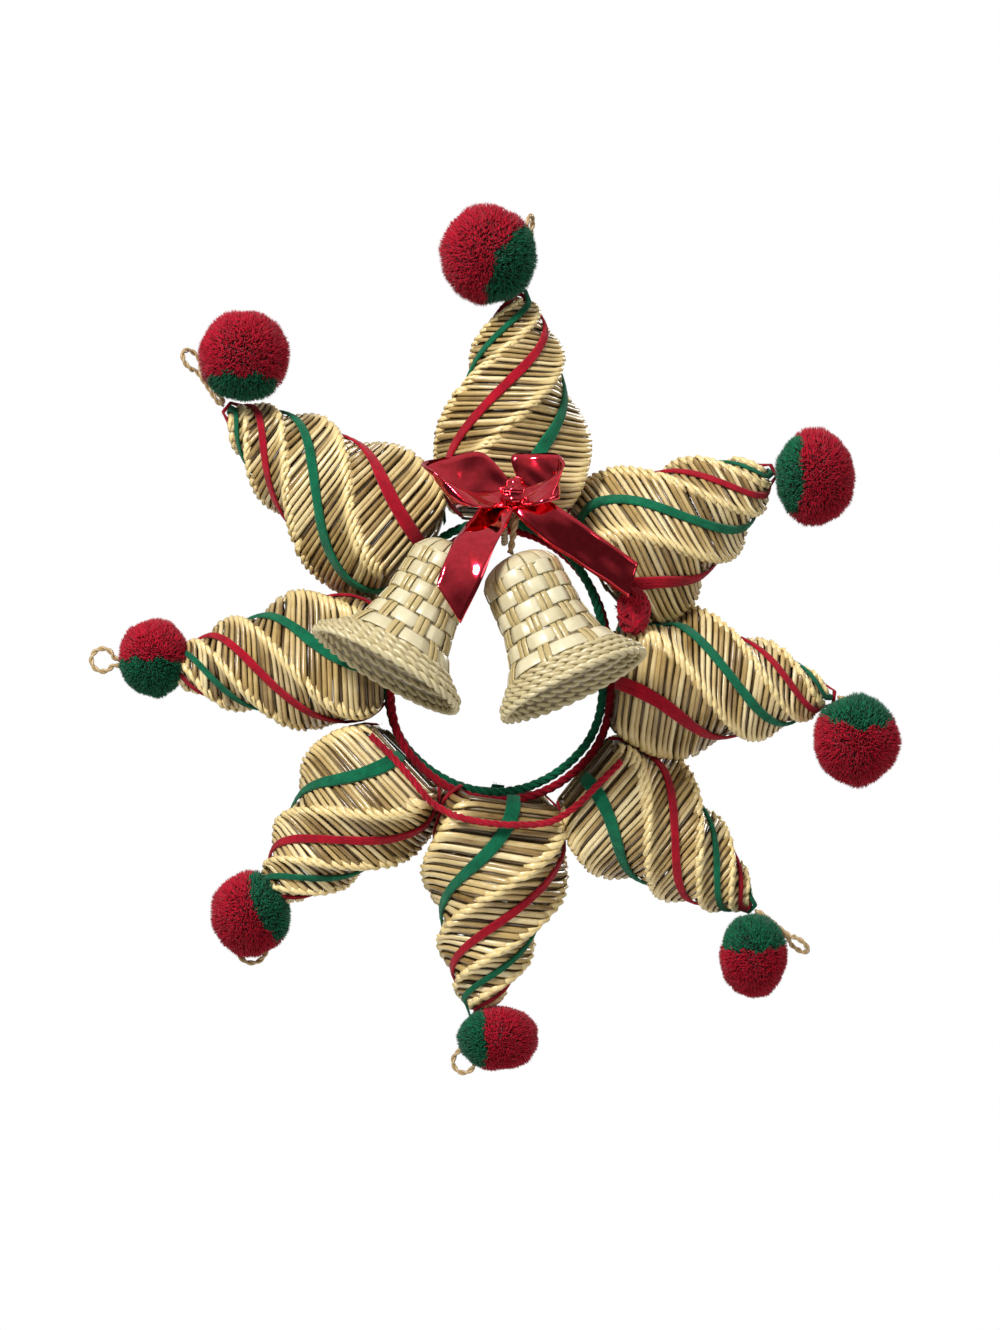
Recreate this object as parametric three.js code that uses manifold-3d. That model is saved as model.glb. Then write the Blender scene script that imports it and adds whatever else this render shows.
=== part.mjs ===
// A straw star that hangs from a loop: eight spiral-plaited straw cones tied in a ring, with yarn strips,
// pompoms, two woven bells and a foil bow. Millimetres, +Z up, and the front faces -Y.
// The origin is inside the top of the hanging loop, where a hook bears.

import * as THREE from "three";
import { mergeVertices } from "three/addons/utils/BufferGeometryUtils.js";
import Module from "manifold-3d";

// --- Driving dimensions -------------------------------------------------------------------------------

const RING_CENTRE = new THREE.Vector3(-13.9, -6.9, -183.4);
const RING_HALF_WIDTH = 45.4;
const RING_HALF_HEIGHT = 53.8;
const TIE_CORD_RADIUS = 1.9;
const TIE_CORD_SWAY = 2.15;
const RED_IN_FRONT_AT = 215;

const STRAW_WALL = 2.6;
const TIP_LEAN_BACK = 4;
const TAPER_POWER = 0.54;
const TAPER_FULLNESS = 1.22;
const RIM_DRAW_IN = 0.42;
const RIM_DRAW_POWER = 11;
const SECTION_POWER = 1.13;
const TWIST_POWER = 0.46;
const TWIST_SLOWS_AT = 0.62;
const TWIST_SLOWING = 0.48;
const TOUCH_GAP = 0.8;
const STRIP_TOUCH_GAP = 3.7;

const STRIP_GAP = 0.4;
const STRIP_THICKNESS = 1.1;
const STRIP_LEAST_WIDTH = 2;
const STRIP_WIDTH_PER_RADIUS = 0.13;

const LOOP_CORD_RADIUS = 1.1;
const LOOP_NECK_RADIUS = 1.75;
const LOOP_STAND_OFF = 6.4;

const BELL_WALL = 2.2;
const BELL_HEIGHT = 61;
const BELL_FORWARD_TILT = 10;
const BELL_CORD_RADIUS = 1.4;

const NECK_TIE_RADIUS = 1.5;
const NECK_TIE_CLEARANCE = 2.9;

const FOIL_THICKNESS = 0.8;

// One row for each cone. base is the rim's centre from the ring's centre (x, z), heading is the direction of
// the tip in degrees from +X towards +Z, and ridges are the two distances from the tip at which a ridge of the
// plait faces front, a quarter turn apart. front is the yarn that shows between them.
const CONES = [
  { name: "top", base: [4.6, 56.3], heading: 87.2, length: 94.6, radius: 35.2, ridges: [20.0, 55.9], front: "red" },
  { name: "upper_left", base: [-33.9, 40.8], heading: 141.9, length: 99.9, radius: 33.7, ridges: [30.7, 66.4], front: "green" },
  { name: "left", base: [-47.3, -0.8], heading: 183.2, length: 91.4, radius: 32.5, ridges: [24.4, 52.1], front: "red" },
  { name: "lower_left", base: [-37.5, -42.7], heading: 225.3, length: 84.0, radius: 32.8, ridges: [23.5, 52.7], front: "red" },
  { name: "bottom", base: [3.4, -57.1], heading: 262.6, length: 94.4, radius: 34.0, ridges: [23.7, 52.9], front: "red" },
  { name: "lower_right", base: [35.0, -49.4], heading: 321.3, length: 90.3, radius: 31.9, ridges: [28.6, 57.0], front: "red" },
  { name: "right", base: [47.9, -8.8], heading: 354.2, length: 92.0, radius: 34.0, ridges: [25.6, 58.0], front: "green" },
  { name: "upper_right", base: [41.6, 35.3], heading: 29.4, length: 83.3, radius: 35.2, ridges: [27.1, 59.2], front: "green" },
];

// The pompom at each tip: at is its centre from the ring's centre (x, y, z) and size its half axes across and up.
const POMPOMS = {
  top: { at: [-3.8, -8, 167.2], size: [21.0, 21.8] },
  upper_left: { at: [-106.3, -7, 124.7], size: [19.7, 20.0] },
  left: { at: [-144.7, 5, -1.7], size: [15.5, 17.0] },
  lower_left: { at: [-104.0, 5, -109.5], size: [17.4, 18.6] },
  bottom: { at: [0.2, 4, -161.6], size: [17.6, 14.2] },
  lower_right: { at: [107.1, -3, -126.6], size: [14.7, 18.4] },
  right: { at: [150.4, -2, -36.3], size: [18.9, 20.0] },
  upper_right: { at: [133.3, -2, 74.3], size: [17.3, 21.2] },
};

// The straw loop at each tip: heading as for a cone, reach from the tip to the far end, radius of the eye's
// centre line, and turn about its own length, where 0 shows the eye from the front.
const LOOPS = {
  top: { heading: 81, reach: 37.2, radius: 5.4, turn: 78 },
  upper_left: { heading: 125.0, reach: 35.0, radius: 5.0, turn: 55 },
  left: { heading: 171.4, reach: 36.0, radius: 4.8, turn: 0 },
  lower_left: { heading: 258.0, reach: 32.5, radius: 6.3, turn: 12 },
  bottom: { heading: 253.3, reach: 29.6, radius: 4.8, turn: 20 },
  lower_right: { heading: 322.0, reach: 34.5, radius: 4.8, turn: 65 },
  right: { heading: 320.0, reach: 32.0, radius: 4.8, turn: 60 },
  upper_right: { heading: 358.0, reach: 32.0, radius: 4.8, turn: 60 },
};

// A bell: the middle of its mouth from the ring's centre, its swing in the front plane in degrees from
// straight down towards +X, and the radii of its shoulder and of its mouth.
const BELLS = {
  left: { mouth: [-46.6, -58, -7.6], swing: -30.0, shoulder: 15.9, lip: 34.5 },
  right: { mouth: [31.7, -56, -14.1], swing: 25.6, shoulder: 17.1, lip: 33 },
};

// --- Small helpers ------------------------------------------------------------------------------------

const wasm = await Module();
wasm.setup();

const { cos, sin, abs, hypot, PI } = Math;
const QUARTER = PI / 2;

function degrees(angle) {
  return (angle * PI) / 180;
}

function vector(list) {
  return new THREE.Vector3(...list);
}

function fromRing(list) {
  return vector(list).add(RING_CENTRE);
}

function mix(a, b, t) {
  return a + (b - a) * t;
}

function signedVolume(position, index) {
  const a = new THREE.Vector3();
  const b = new THREE.Vector3();
  const c = new THREE.Vector3();
  let sum = 0;
  for (let i = 0; i < index.count; i += 3) {
    a.fromBufferAttribute(position, index.getX(i));
    b.fromBufferAttribute(position, index.getX(i + 1));
    c.fromBufferAttribute(position, index.getX(i + 2));
    sum += a.dot(b.cross(c)) / 6;
  }
  return sum;
}

// One closed skin with shared vertices, no empty faces and its faces pointing out.
function closedSkin(source) {
  const plain = source.clone();
  plain.deleteAttribute("normal");
  plain.deleteAttribute("uv");
  const merged = mergeVertices(plain, 1e-4);
  const index = merged.index;
  const kept = [];
  const inward = signedVolume(merged.attributes.position, index) < 0;
  for (let i = 0; i < index.count; i += 3) {
    const face = [index.getX(i), index.getX(i + 1), index.getX(i + 2)];
    if (new Set(face).size === 3) {
      kept.push(...(inward ? face.reverse() : face));
    }
  }
  merged.setIndex(kept);
  return merged;
}

function toSolid(geometry) {
  const skin = closedSkin(geometry);
  return new wasm.Manifold(new wasm.Mesh({
    numProp: 3,
    vertProperties: new Float32Array(skin.attributes.position.array),
    triVerts: new Uint32Array(skin.index.array),
  }));
}

function fromSolid(solid) {
  const mesh = solid.getMesh();
  const geometry = new THREE.BufferGeometry();
  geometry.setAttribute("position", new THREE.BufferAttribute(mesh.vertProperties.slice(), 3));
  geometry.setIndex(Array.from(mesh.triVerts));
  return geometry;
}

// Splits the quads of a geometry along their other diagonals, where a test of the quad's middle asks for it.
// Both the lathe and the box write a quad as two triangles, the first of them a, b, d.
function otherDiagonals(geometry, asks) {
  const { index, attributes } = geometry;
  const corner = new THREE.Vector3();
  for (let i = 0; i < index.count; i += 6) {
    const [a, b, d] = [0, 1, 2].map((k) => index.getX(i + k));
    const c = [3, 4, 5].map((k) => index.getX(i + k)).find((k) => k !== b && k !== d);
    const middle = new THREE.Vector3();
    for (const k of [a, b, c, d]) {
      middle.addScaledVector(corner.fromBufferAttribute(attributes.position, k), 1 / 4);
    }
    if (asks(middle)) {
      [a, b, c, a, c, d].forEach((value, k) => index.setX(i + k, value));
    }
  }
  return geometry;
}

// Moves every vertex of a geometry by a function of its own position.
function moved(geometry, place) {
  const position = geometry.attributes.position;
  const from = new THREE.Vector3();
  for (let i = 0; i < position.count; i += 1) {
    from.fromBufferAttribute(position, i);
    const to = place(from);
    position.setXYZ(i, to.x, to.y, to.z);
  }
  return geometry;
}

// --- Materials ----------------------------------------------------------------------------------------

function finish(color, roughness, metalness = 0) {
  return { color, roughness, metalness };
}

const FINISHES = {
  straw: finish(0xc9a566, 0.45),
  straw_cord: finish(0xb08a50, 0.6),
  palm: finish(0xd0c49c, 0.5),
  red_yarn: finish(0xa80f22, 0.95),
  green_yarn: finish(0x0b6a36, 0.95),
  pompom_yarn: finish(0x8c0a20, 0.98),
  foil: finish(0xc40a20, 0.15, 0.9),
};

const star = new THREE.Group();

function add(name, geometry, slot) {
  const mesh = new THREE.Mesh(closedSkin(geometry), new THREE.MeshStandardMaterial(FINISHES[slot]));
  mesh.name = name;
  star.add(mesh);
  return mesh;
}

// --- The plaited cone's surface -----------------------------------------------------------------------

// The cone's own frame: tip, along (base to tip), side (to the right with the tip up) and face (to the front).
function coneFrame(cone) {
  const heading = degrees(cone.heading);
  const lean = degrees(TIP_LEAN_BACK);
  const along = new THREE.Vector3(cos(heading) * cos(lean), sin(lean), sin(heading) * cos(lean));
  const side = new THREE.Vector3(sin(heading), 0, -cos(heading));
  const face = new THREE.Vector3().crossVectors(side, along);
  const base = fromRing([cone.base[0], 0, cone.base[1]]);
  const tip = base.clone().addScaledVector(along, cone.length);
  return { tip, along, side, face };
}

const FRAMES = new Map(CONES.map((cone) => [cone.name, coneFrame(cone)]));

// Ridge radius at a distance u from the tip: a pointed nose that swells and draws in again at the rim.
function ridgeRadius(cone, u) {
  const w = Math.min(Math.max(u / cone.length, 0), 1);
  return cone.radius * TAPER_FULLNESS * w ** TAPER_POWER * (1 - RIM_DRAW_IN * w ** RIM_DRAW_POWER);
}

// Angle of the leading ridge from the front, towards the cone's right. The twist is quick at the tip and slows
// where the cone draws in towards its rim.
function ridgeAngle(cone, u) {
  const [near, far] = cone.ridges.map((distance) => distance ** TWIST_POWER);
  const slowStart = TWIST_SLOWS_AT * cone.length;
  const past = Math.max(u - slowStart, 0);
  const turned = Math.max(u, 0) - (TWIST_SLOWING * past ** 2) / (cone.length - slowStart);
  return (-QUARTER * (turned ** TWIST_POWER - near)) / (far - near);
}

// The section is a square with slightly bulging sides: 1 at a ridge and about 0.77 at mid side.
function sectionReach(angle) {
  const sum = abs(cos(angle)) ** SECTION_POWER + abs(sin(angle)) ** SECTION_POWER;
  return sum ** (-1 / SECTION_POWER);
}

function coneReach(cone, u, angle) {
  return ridgeRadius(cone, u) * sectionReach(angle - ridgeAngle(cone, u));
}

function conePoint(cone, u, angle, radius) {
  const { tip, along, side, face } = FRAMES.get(cone.name);
  return tip.clone()
    .addScaledVector(along, -u)
    .addScaledVector(face, radius * cos(angle))
    .addScaledVector(side, radius * sin(angle));
}

// How far out of a cone a point lies, as a share of the cone's own reach: 1 is on its surface.
const RIM_GUARD = 10;

function share(cone, point) {
  const { tip, along, side, face } = FRAMES.get(cone.name);
  const from = point.clone().sub(tip);
  const u = -from.dot(along);
  if (u <= 0 || u > cone.length + RIM_GUARD) {
    return Infinity;
  }
  const across = from.dot(side);
  const forward = from.dot(face);
  const reach = coneReach(cone, Math.min(u, cone.length), Math.atan2(across, forward));
  return hypot(across, forward) / reach;
}

function neighbours(cone) {
  const index = CONES.indexOf(cone);
  return [CONES[(index + CONES.length - 1) % CONES.length], CONES[(index + 1) % CONES.length]];
}

// The reach of a cone where its neighbours press against it: both walls give way along the line where each
// would reach equally far, and a small gap stays between them.
const PRESS_STEPS = 14;

function pressedReach(cone, u, angle, gap) {
  const reach = coneReach(cone, u, angle);
  let result = reach;
  for (const other of neighbours(cone)) {
    const fits = (radius) => {
      const own = (radius + gap) / reach;
      return own <= share(other, conePoint(cone, u, angle, radius));
    };
    if (!fits(result)) {
      let low = 0.3 * reach;
      let high = result;
      for (let step = 0; step < PRESS_STEPS; step += 1) {
        const middle = (low + high) / 2;
        if (fits(middle)) {
          low = middle;
        } else {
          high = middle;
        }
      }
      result = low;
    }
  }
  return result;
}

// --- Plaited cones ------------------------------------------------------------------------------------

// Rings along a cone, as shares of its length from the tip. They crowd at the tip, where the twist is quick.
const OUTER_RINGS = [0.02, 0.075, 0.16, 0.27, 0.4, 0.545, 0.7, 0.84, 0.94, 1];
const FIRST_HOLLOW_RING = 3;
const SIDES = 4;
const COLUMNS = 3 * SIDES;

function stripWidth(cone, u) {
  return STRIP_LEAST_WIDTH + STRIP_WIDTH_PER_RADIUS * ridgeRadius(cone, u);
}

// Half the angle that a yarn strip covers at mid side.
function stripHalfAngle(cone, u) {
  return Math.atan2(stripWidth(cone, u) / 2, ridgeRadius(cone, u) * sectionReach(QUARTER / 2));
}

// The columns of a side are its ridge and the two edges of its yarn strip.
function columnAngle(cone, u, column) {
  const side = Math.floor(column / 3);
  const half = stripHalfAngle(cone, u);
  const within = [0, QUARTER / 2 - half, QUARTER / 2 + half][column % 3];
  return ridgeAngle(cone, u) + side * QUARTER + within;
}

// The inside of the wall has a column at mid side in place of the strip's two edges.
function innerAngle(cone, u, column) {
  const side = Math.floor(column / 3);
  const within = column % 3 === 0 ? 0 : QUARTER / 2;
  return ridgeAngle(cone, u) + side * QUARTER + within;
}

function columnReach(cone, u, column) {
  const gap = column % 3 === 0 ? TOUCH_GAP : STRIP_TOUCH_GAP;
  return pressedReach(cone, u, columnAngle(cone, u, column), gap);
}

function wallPoint(cone, ring, column) {
  if (ring.apex) {
    return conePoint(cone, ring.u, 0, 0);
  }
  if (ring.inside) {
    const angle = innerAngle(cone, ring.u, column);
    const gap = column % 3 === 0 ? TOUCH_GAP : STRIP_TOUCH_GAP;
    return conePoint(cone, ring.u, angle, pressedReach(cone, ring.u, angle, gap) - STRAW_WALL);
  }
  return conePoint(cone, ring.u, columnAngle(cone, ring.u, column), columnReach(cone, ring.u, column));
}

// The wall runs from the tip down the outside to the rim, and back up the inside to the hollow's own tip.
function coneWall(cone) {
  const outer = OUTER_RINGS.map((w) => ({ u: w * cone.length, inside: false }));
  const inner = OUTER_RINGS.slice(FIRST_HOLLOW_RING).reverse().map((w) => ({ u: w * cone.length, inside: true }));
  const hollowTip = OUTER_RINGS[FIRST_HOLLOW_RING - 1] * cone.length + STRAW_WALL;
  const rings = [{ u: 0, apex: true }, ...outer, ...inner, { u: hollowTip, apex: true }];
  const profile = rings.map((ring) => new THREE.Vector2(ring.apex ? 0 : ridgeRadius(cone, ring.u), -ring.u));
  const geometry = otherDiagonals(new THREE.LatheGeometry(profile, COLUMNS), () => true);
  const position = geometry.attributes.position;
  for (let column = 0; column <= COLUMNS; column += 1) {
    rings.forEach((ring, row) => {
      const point = wallPoint(cone, ring, column % COLUMNS);
      position.setXYZ(column * rings.length + row, point.x, point.y, point.z);
    });
  }
  return geometry;
}

for (const cone of CONES) {
  add(`cone_${cone.name}`, coneWall(cone), "straw");
}

// --- Yarn strips --------------------------------------------------------------------------------------

// One station of a strip: its two edges on the straw and the direction away from the straw.
function stripStation(cone, u, side) {
  const edges = [1, 2].map((offset) => {
    const column = side * 3 + offset;
    return conePoint(cone, u, columnAngle(cone, u, column), columnReach(cone, u, column));
  });
  const middle = ridgeAngle(cone, u) + side * QUARTER + QUARTER / 2;
  const away = conePoint(cone, u, middle, 1).sub(conePoint(cone, u, middle, 0));
  return { edges, away };
}

// A strip over the tip keeps its edges, at a height above the tip that lets the other colour pass under it.
function crossingStations(cone, side, height) {
  const { tip, along } = FRAMES.get(cone.name);
  const u = OUTER_RINGS[0] * cone.length;
  const half = 0.55 * ridgeRadius(cone, u);
  const start = ridgeAngle(cone, u) + side * QUARTER + QUARTER / 2;
  const out = conePoint(cone, u, start, 1).sub(conePoint(cone, u, start, 0));
  const across = new THREE.Vector3().crossVectors(out, along).multiplyScalar(stripWidth(cone, u) / 2);
  return [half, -half].map((distance) => {
    const centre = tip.clone().addScaledVector(along, height).addScaledVector(out, distance);
    const edges = [centre.clone().add(across), centre.clone().sub(across)];
    return { edges, away: along };
  });
}

// A flat strip through its stations: a long box whose slices are laid on them. Its underside is split as the
// straw under it is, so that the gap between them stays even.
function stripThrough(stations, gap, thickness) {
  const count = stations.length - 1;
  const box = new THREE.BoxGeometry(1, 1, count, 1, 1, count);
  const underside = (middle) => middle.y < -0.4;
  return moved(otherDiagonals(box, underside), (from) => {
    const station = stations[Math.round(from.z + count / 2)];
    const edge = station.edges[from.x < 0 ? 0 : 1];
    const lift = from.y < 0 ? gap : gap + thickness;
    return edge.clone().addScaledVector(station.away, lift);
  });
}

function yarnStrip(cone, side, crossingHeight) {
  const rows = OUTER_RINGS.slice().reverse();
  const up = rows.map((w) => stripStation(cone, w * cone.length, side));
  const over = crossingStations(cone, side, crossingHeight);
  const down = rows.reverse().map((w) => {
    const station = stripStation(cone, w * cone.length, side + 2);
    return { edges: station.edges.reverse(), away: station.away };
  });
  return stripThrough([...up, ...over, ...down], STRIP_GAP, STRIP_THICKNESS);
}

const FIRST_CROSSING = 0;
const SECOND_CROSSING = STRIP_THICKNESS + STRIP_GAP;

for (const cone of CONES) {
  const other = cone.front === "red" ? "green" : "red";
  add(`yarn_${cone.front}_${cone.name}`, yarnStrip(cone, 0, FIRST_CROSSING), `${cone.front}_yarn`);
  add(`yarn_${other}_${cone.name}`, yarnStrip(cone, 1, SECOND_CROSSING), `${other}_yarn`);
}

// --- Straw loops --------------------------------------------------------------------------------------

// The loop's own frame: root at the cone's tip, along to the far end, and wide across the eye.
function loopFrame(cone) {
  const loop = LOOPS[cone.name];
  const heading = degrees(loop.heading);
  const turn = degrees(loop.turn);
  const along = new THREE.Vector3(cos(heading), 0, sin(heading));
  const side = new THREE.Vector3(sin(heading), 0, -cos(heading));
  const wide = side.multiplyScalar(cos(turn)).add(new THREE.Vector3(0, sin(turn), 0));
  const flat = new THREE.Vector3().crossVectors(along, wide);
  const tipFrame = FRAMES.get(cone.name);
  const root = tipFrame.tip.clone().addScaledVector(tipFrame.along, LOOP_STAND_OFF - LOOP_NECK_RADIUS);
  return { root, along, wide, flat };
}

// Keyhole line, as [along, across, direction of travel]: round the root, up the neck, round the eye and back.
const ROOT_STEPS = 3;
const EYE_STEPS = 8;

function keyhole(reach, eyeRadius) {
  const eye = reach - LOOP_CORD_RADIUS - eyeRadius;
  const open = Math.asin(LOOP_NECK_RADIUS / eyeRadius);
  const points = [];
  for (let i = 0; i <= ROOT_STEPS; i += 1) {
    const angle = -QUARTER + (PI * i) / ROOT_STEPS;
    const heading = PI - angle;
    points.push([LOOP_NECK_RADIUS * (1 - cos(angle)), LOOP_NECK_RADIUS * sin(angle), heading + QUARTER]);
  }
  for (let i = 0; i <= EYE_STEPS; i += 1) {
    const angle = mix(PI - open, open - PI, i / EYE_STEPS);
    points.push([eye + eyeRadius * cos(angle), eyeRadius * sin(angle), angle - QUARTER]);
  }
  return points;
}

function strawLoop(cone) {
  const { root, along, wide, flat } = loopFrame(cone);
  const loop = LOOPS[cone.name];
  const line = keyhole(loop.reach - LOOP_STAND_OFF, loop.radius);
  const torus = new THREE.TorusGeometry(1, 0.5, 4, line.length);
  return moved(torus, (from) => {
    const step = (Math.atan2(from.y, from.x) / (2 * PI)) * line.length;
    const [forward, across] = line[((Math.round(step) % line.length) + line.length) % line.length];
    const before = line[((Math.round(step) - 1 + line.length) % line.length + line.length) % line.length];
    const after = line[((Math.round(step) + 1) % line.length + line.length) % line.length];
    const travel = new THREE.Vector2(after[0] - before[0], after[1] - before[1]).normalize();
    const out = (hypot(from.x, from.y) - 1) * 2 * LOOP_CORD_RADIUS;
    const lift = from.z * 2 * LOOP_CORD_RADIUS;
    return root.clone()
      .addScaledVector(along, forward - travel.y * out)
      .addScaledVector(wide, across + travel.x * out)
      .addScaledVector(flat, lift);
  });
}

for (const cone of CONES) {
  const name = cone.name === "top" ? "hanging_loop" : `loop_${cone.name}`;
  add(name, strawLoop(cone), "straw_cord");
}

// --- Pompoms ------------------------------------------------------------------------------------------

const POMPOM_LUMP = 0.035;
const POMPOM_CLEARANCE = 0.4;
const TIP_BURIED = 26;

function pompomBall(cone) {
  const { at, size } = POMPOMS[cone.name];
  const centre = fromRing(at);
  const half = new THREE.Vector3(size[0], (size[0] + size[1]) / 2, size[1]);
  const ball = new THREE.SphereGeometry(1, 9, 6);
  return moved(ball, (from) => {
    const lump = 1 + POMPOM_LUMP * sin(5 * from.x + 3 * from.z) * cos(4 * from.y + from.x);
    return from.clone().multiplyScalar(lump).multiply(half).add(centre);
  });
}

// The room that the plaited tip with its strips takes up inside the pompom.
function tipRoom(cone) {
  const { tip, along } = FRAMES.get(cone.name);
  const extra = STRIP_GAP + STRIP_THICKNESS + POMPOM_CLEARANCE;
  const profile = [new THREE.Vector2(0, LOOP_STAND_OFF)];
  for (const u of [-LOOP_STAND_OFF, 0, 4, 12, TIP_BURIED]) {
    profile.push(new THREE.Vector2(ridgeRadius(cone, Math.max(u, 1)) + extra, -u));
  }
  profile.push(new THREE.Vector2(0, -TIP_BURIED));
  const room = new THREE.LatheGeometry(profile, 8);
  const turn = new THREE.Quaternion().setFromUnitVectors(new THREE.Vector3(0, 1, 0), along);
  return moved(room, (from) => from.clone().applyQuaternion(turn).add(tip));
}

// The room for the loop: a flat slot along its neck and its eye.
function loopRoom(cone) {
  const { root, along, wide, flat } = loopFrame(cone);
  const loop = LOOPS[cone.name];
  const line = keyhole(loop.reach - LOOP_STAND_OFF, loop.radius);
  const halfWidth = Math.max(...line.map((point) => point[1])) + LOOP_CORD_RADIUS + POMPOM_CLEARANCE;
  const neckWidth = LOOP_NECK_RADIUS + LOOP_CORD_RADIUS + POMPOM_CLEARANCE;
  const eyeStart = loop.reach - LOOP_STAND_OFF - 2 * loop.radius - 3 * LOOP_CORD_RADIUS;
  const slot = new THREE.Shape([
    new THREE.Vector2(-POMPOM_CLEARANCE - LOOP_CORD_RADIUS, -neckWidth),
    new THREE.Vector2(eyeStart, -neckWidth),
    new THREE.Vector2(eyeStart + loop.radius, -halfWidth),
    new THREE.Vector2(loop.reach, -halfWidth),
    new THREE.Vector2(loop.reach, halfWidth),
    new THREE.Vector2(eyeStart + loop.radius, halfWidth),
    new THREE.Vector2(eyeStart, neckWidth),
    new THREE.Vector2(-POMPOM_CLEARANCE - LOOP_CORD_RADIUS, neckWidth),
  ]);
  const depth = 2 * (LOOP_CORD_RADIUS + POMPOM_CLEARANCE);
  const geometry = new THREE.ExtrudeGeometry(slot, { depth, bevelEnabled: false });
  return moved(geometry, (from) => root.clone()
    .addScaledVector(along, from.x)
    .addScaledVector(wide, from.y)
    .addScaledVector(flat, from.z - depth / 2));
}

for (const cone of CONES) {
  const ball = toSolid(pompomBall(cone)).subtract(toSolid(tipRoom(cone))).subtract(toSolid(loopRoom(cone)));
  const pieces = ball.decompose().sort((a, b) => b.volume() - a.volume());
  add(`pompom_${cone.name}`, fromSolid(pieces[0]), "pompom_yarn");
}

// --- Tie cords round the inner ring -------------------------------------------------------------------

const RING_STEPS = 20;
const RING_SIDES = 5;

// Two cords lie against each other on the ring and change places once on the way round.
function ringCord(phase) {
  const torus = new THREE.TorusGeometry(1, 0.5, RING_SIDES, RING_STEPS);
  return moved(torus, (from) => {
    const angle = Math.atan2(from.y, from.x);
    const sway = angle + phase;
    const outward = new THREE.Vector3(cos(angle) / RING_HALF_WIDTH, 0, sin(angle) / RING_HALF_HEIGHT).normalize();
    const out = (hypot(from.x, from.y) - 1) * 2 * TIE_CORD_RADIUS + TIE_CORD_SWAY * cos(sway);
    const lift = from.z * 2 * TIE_CORD_RADIUS + TIE_CORD_SWAY * sin(sway);
    const centre = new THREE.Vector3(RING_HALF_WIDTH * cos(angle), lift, RING_HALF_HEIGHT * sin(angle));
    return centre.addScaledVector(outward, out).add(RING_CENTRE);
  });
}

const RED_PHASE = degrees(270 - RED_IN_FRONT_AT);

add("tie_cord_red", ringCord(RED_PHASE), "red_yarn");
add("tie_cord_green", ringCord(RED_PHASE + PI), "green_yarn");

// --- Neck tie and tie knot ----------------------------------------------------------------------------

// A round cord along a smooth line through the given points.
function cordThrough(points, radius, sides, steps) {
  const round = new THREE.Shape(Array.from({ length: sides }, (_, k) => {
    const angle = (2 * PI * k) / sides;
    return new THREE.Vector2(radius * cos(angle), radius * sin(angle));
  }));
  const extrudePath = new THREE.CatmullRomCurve3(points, false, "centripetal");
  return new THREE.ExtrudeGeometry(round, { steps, extrudePath });
}

// How far forward the cones reach at a place in the front view.
const FRONT_SCAN_START = -45;
const FRONT_SCAN_STEP = 0.25;

function frontOfCones(x, z) {
  const point = fromRing([x, FRONT_SCAN_START, z]);
  while (point.y < 0 && !CONES.some((cone) => share(cone, point) < 1)) {
    point.y += FRONT_SCAN_STEP;
  }
  return point.y - RING_CENTRE.y;
}

const NECK_TIE_STEPS = 20;

// The thin red yarn that ties the three lower cones' necks, from the left cone's groove to the right one's.
const NECK_LINE = [
  [-52.9, -34], [-43.3, -43.3], [-34.9, -52.9], [-26.5, -62.6], [-16, -67.6], [-4.6, -70.1],
  [9.2, -71], [22.4, -69.6], [32.3, -63.4], [42, -53.8], [51.2, -44.5],
];

function neckTie() {
  const stand = NECK_TIE_RADIUS + STRIP_GAP + STRIP_THICKNESS + NECK_TIE_CLEARANCE;
  const line = new THREE.SplineCurve(NECK_LINE.map(([x, z]) => new THREE.Vector2(x, z))).getPoints(NECK_TIE_STEPS);
  const depth = line.map((place) => frontOfCones(place.x, place.y) - stand);
  const taut = depth.map((y, i) => {
    const inside = i > 0 && i < depth.length - 1;
    return inside ? Math.min(y, (depth[i - 1] + depth[i + 1]) / 2) : Math.min(y, depth[Math.max(i - 1, 1)] + 3);
  });
  const points = line.map((place, i) => fromRing([place.x, taut[i], place.y]));
  return cordThrough(points, NECK_TIE_RADIUS, 4, NECK_TIE_STEPS);
}

add("neck_tie", neckTie(), "red_yarn");

const KNOT_CENTRE = [56.3, -28, 17.6];
const KNOT_HALF_SIZE = new THREE.Vector3(7.2, 5, 10.5);

function tieKnot() {
  const centre = fromRing(KNOT_CENTRE);
  return moved(new THREE.SphereGeometry(1, 7, 5), (from) => from.clone().multiply(KNOT_HALF_SIZE).add(centre));
}

add("tie_knot", tieKnot(), "red_yarn");

// --- Bells --------------------------------------------------------------------------------------------

const BELL_SIDES = 14;

// The outside and the inside of a bell, as [radius, distance below the crown].
function bellProfile({ shoulder, lip }) {
  const outside = [
    [0, 0], [9.5, 1.7], [shoulder, 8.5], [shoulder + 1, 31], [shoulder + 3.6, 41], [shoulder + 9, 50.5],
    [lip - 1.2, 57], [lip, BELL_HEIGHT],
  ];
  const inside = [
    [lip - BELL_WALL, BELL_HEIGHT], [shoulder + 7, 51.5], [shoulder + 1, 41.5],
    [shoulder - BELL_WALL + 0.6, 30], [shoulder - BELL_WALL, 10], [0, BELL_WALL + 0.6],
  ];
  return [...outside, ...inside].map(([radius, down]) => new THREE.Vector2(radius, -down));
}

function bellAxis(bell) {
  const swing = degrees(bell.swing);
  const tilt = degrees(BELL_FORWARD_TILT);
  return new THREE.Vector3(sin(swing) * cos(tilt), -sin(tilt), -cos(swing) * cos(tilt));
}

function bellCrown(bell) {
  return fromRing(bell.mouth).addScaledVector(bellAxis(bell), -BELL_HEIGHT);
}

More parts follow.
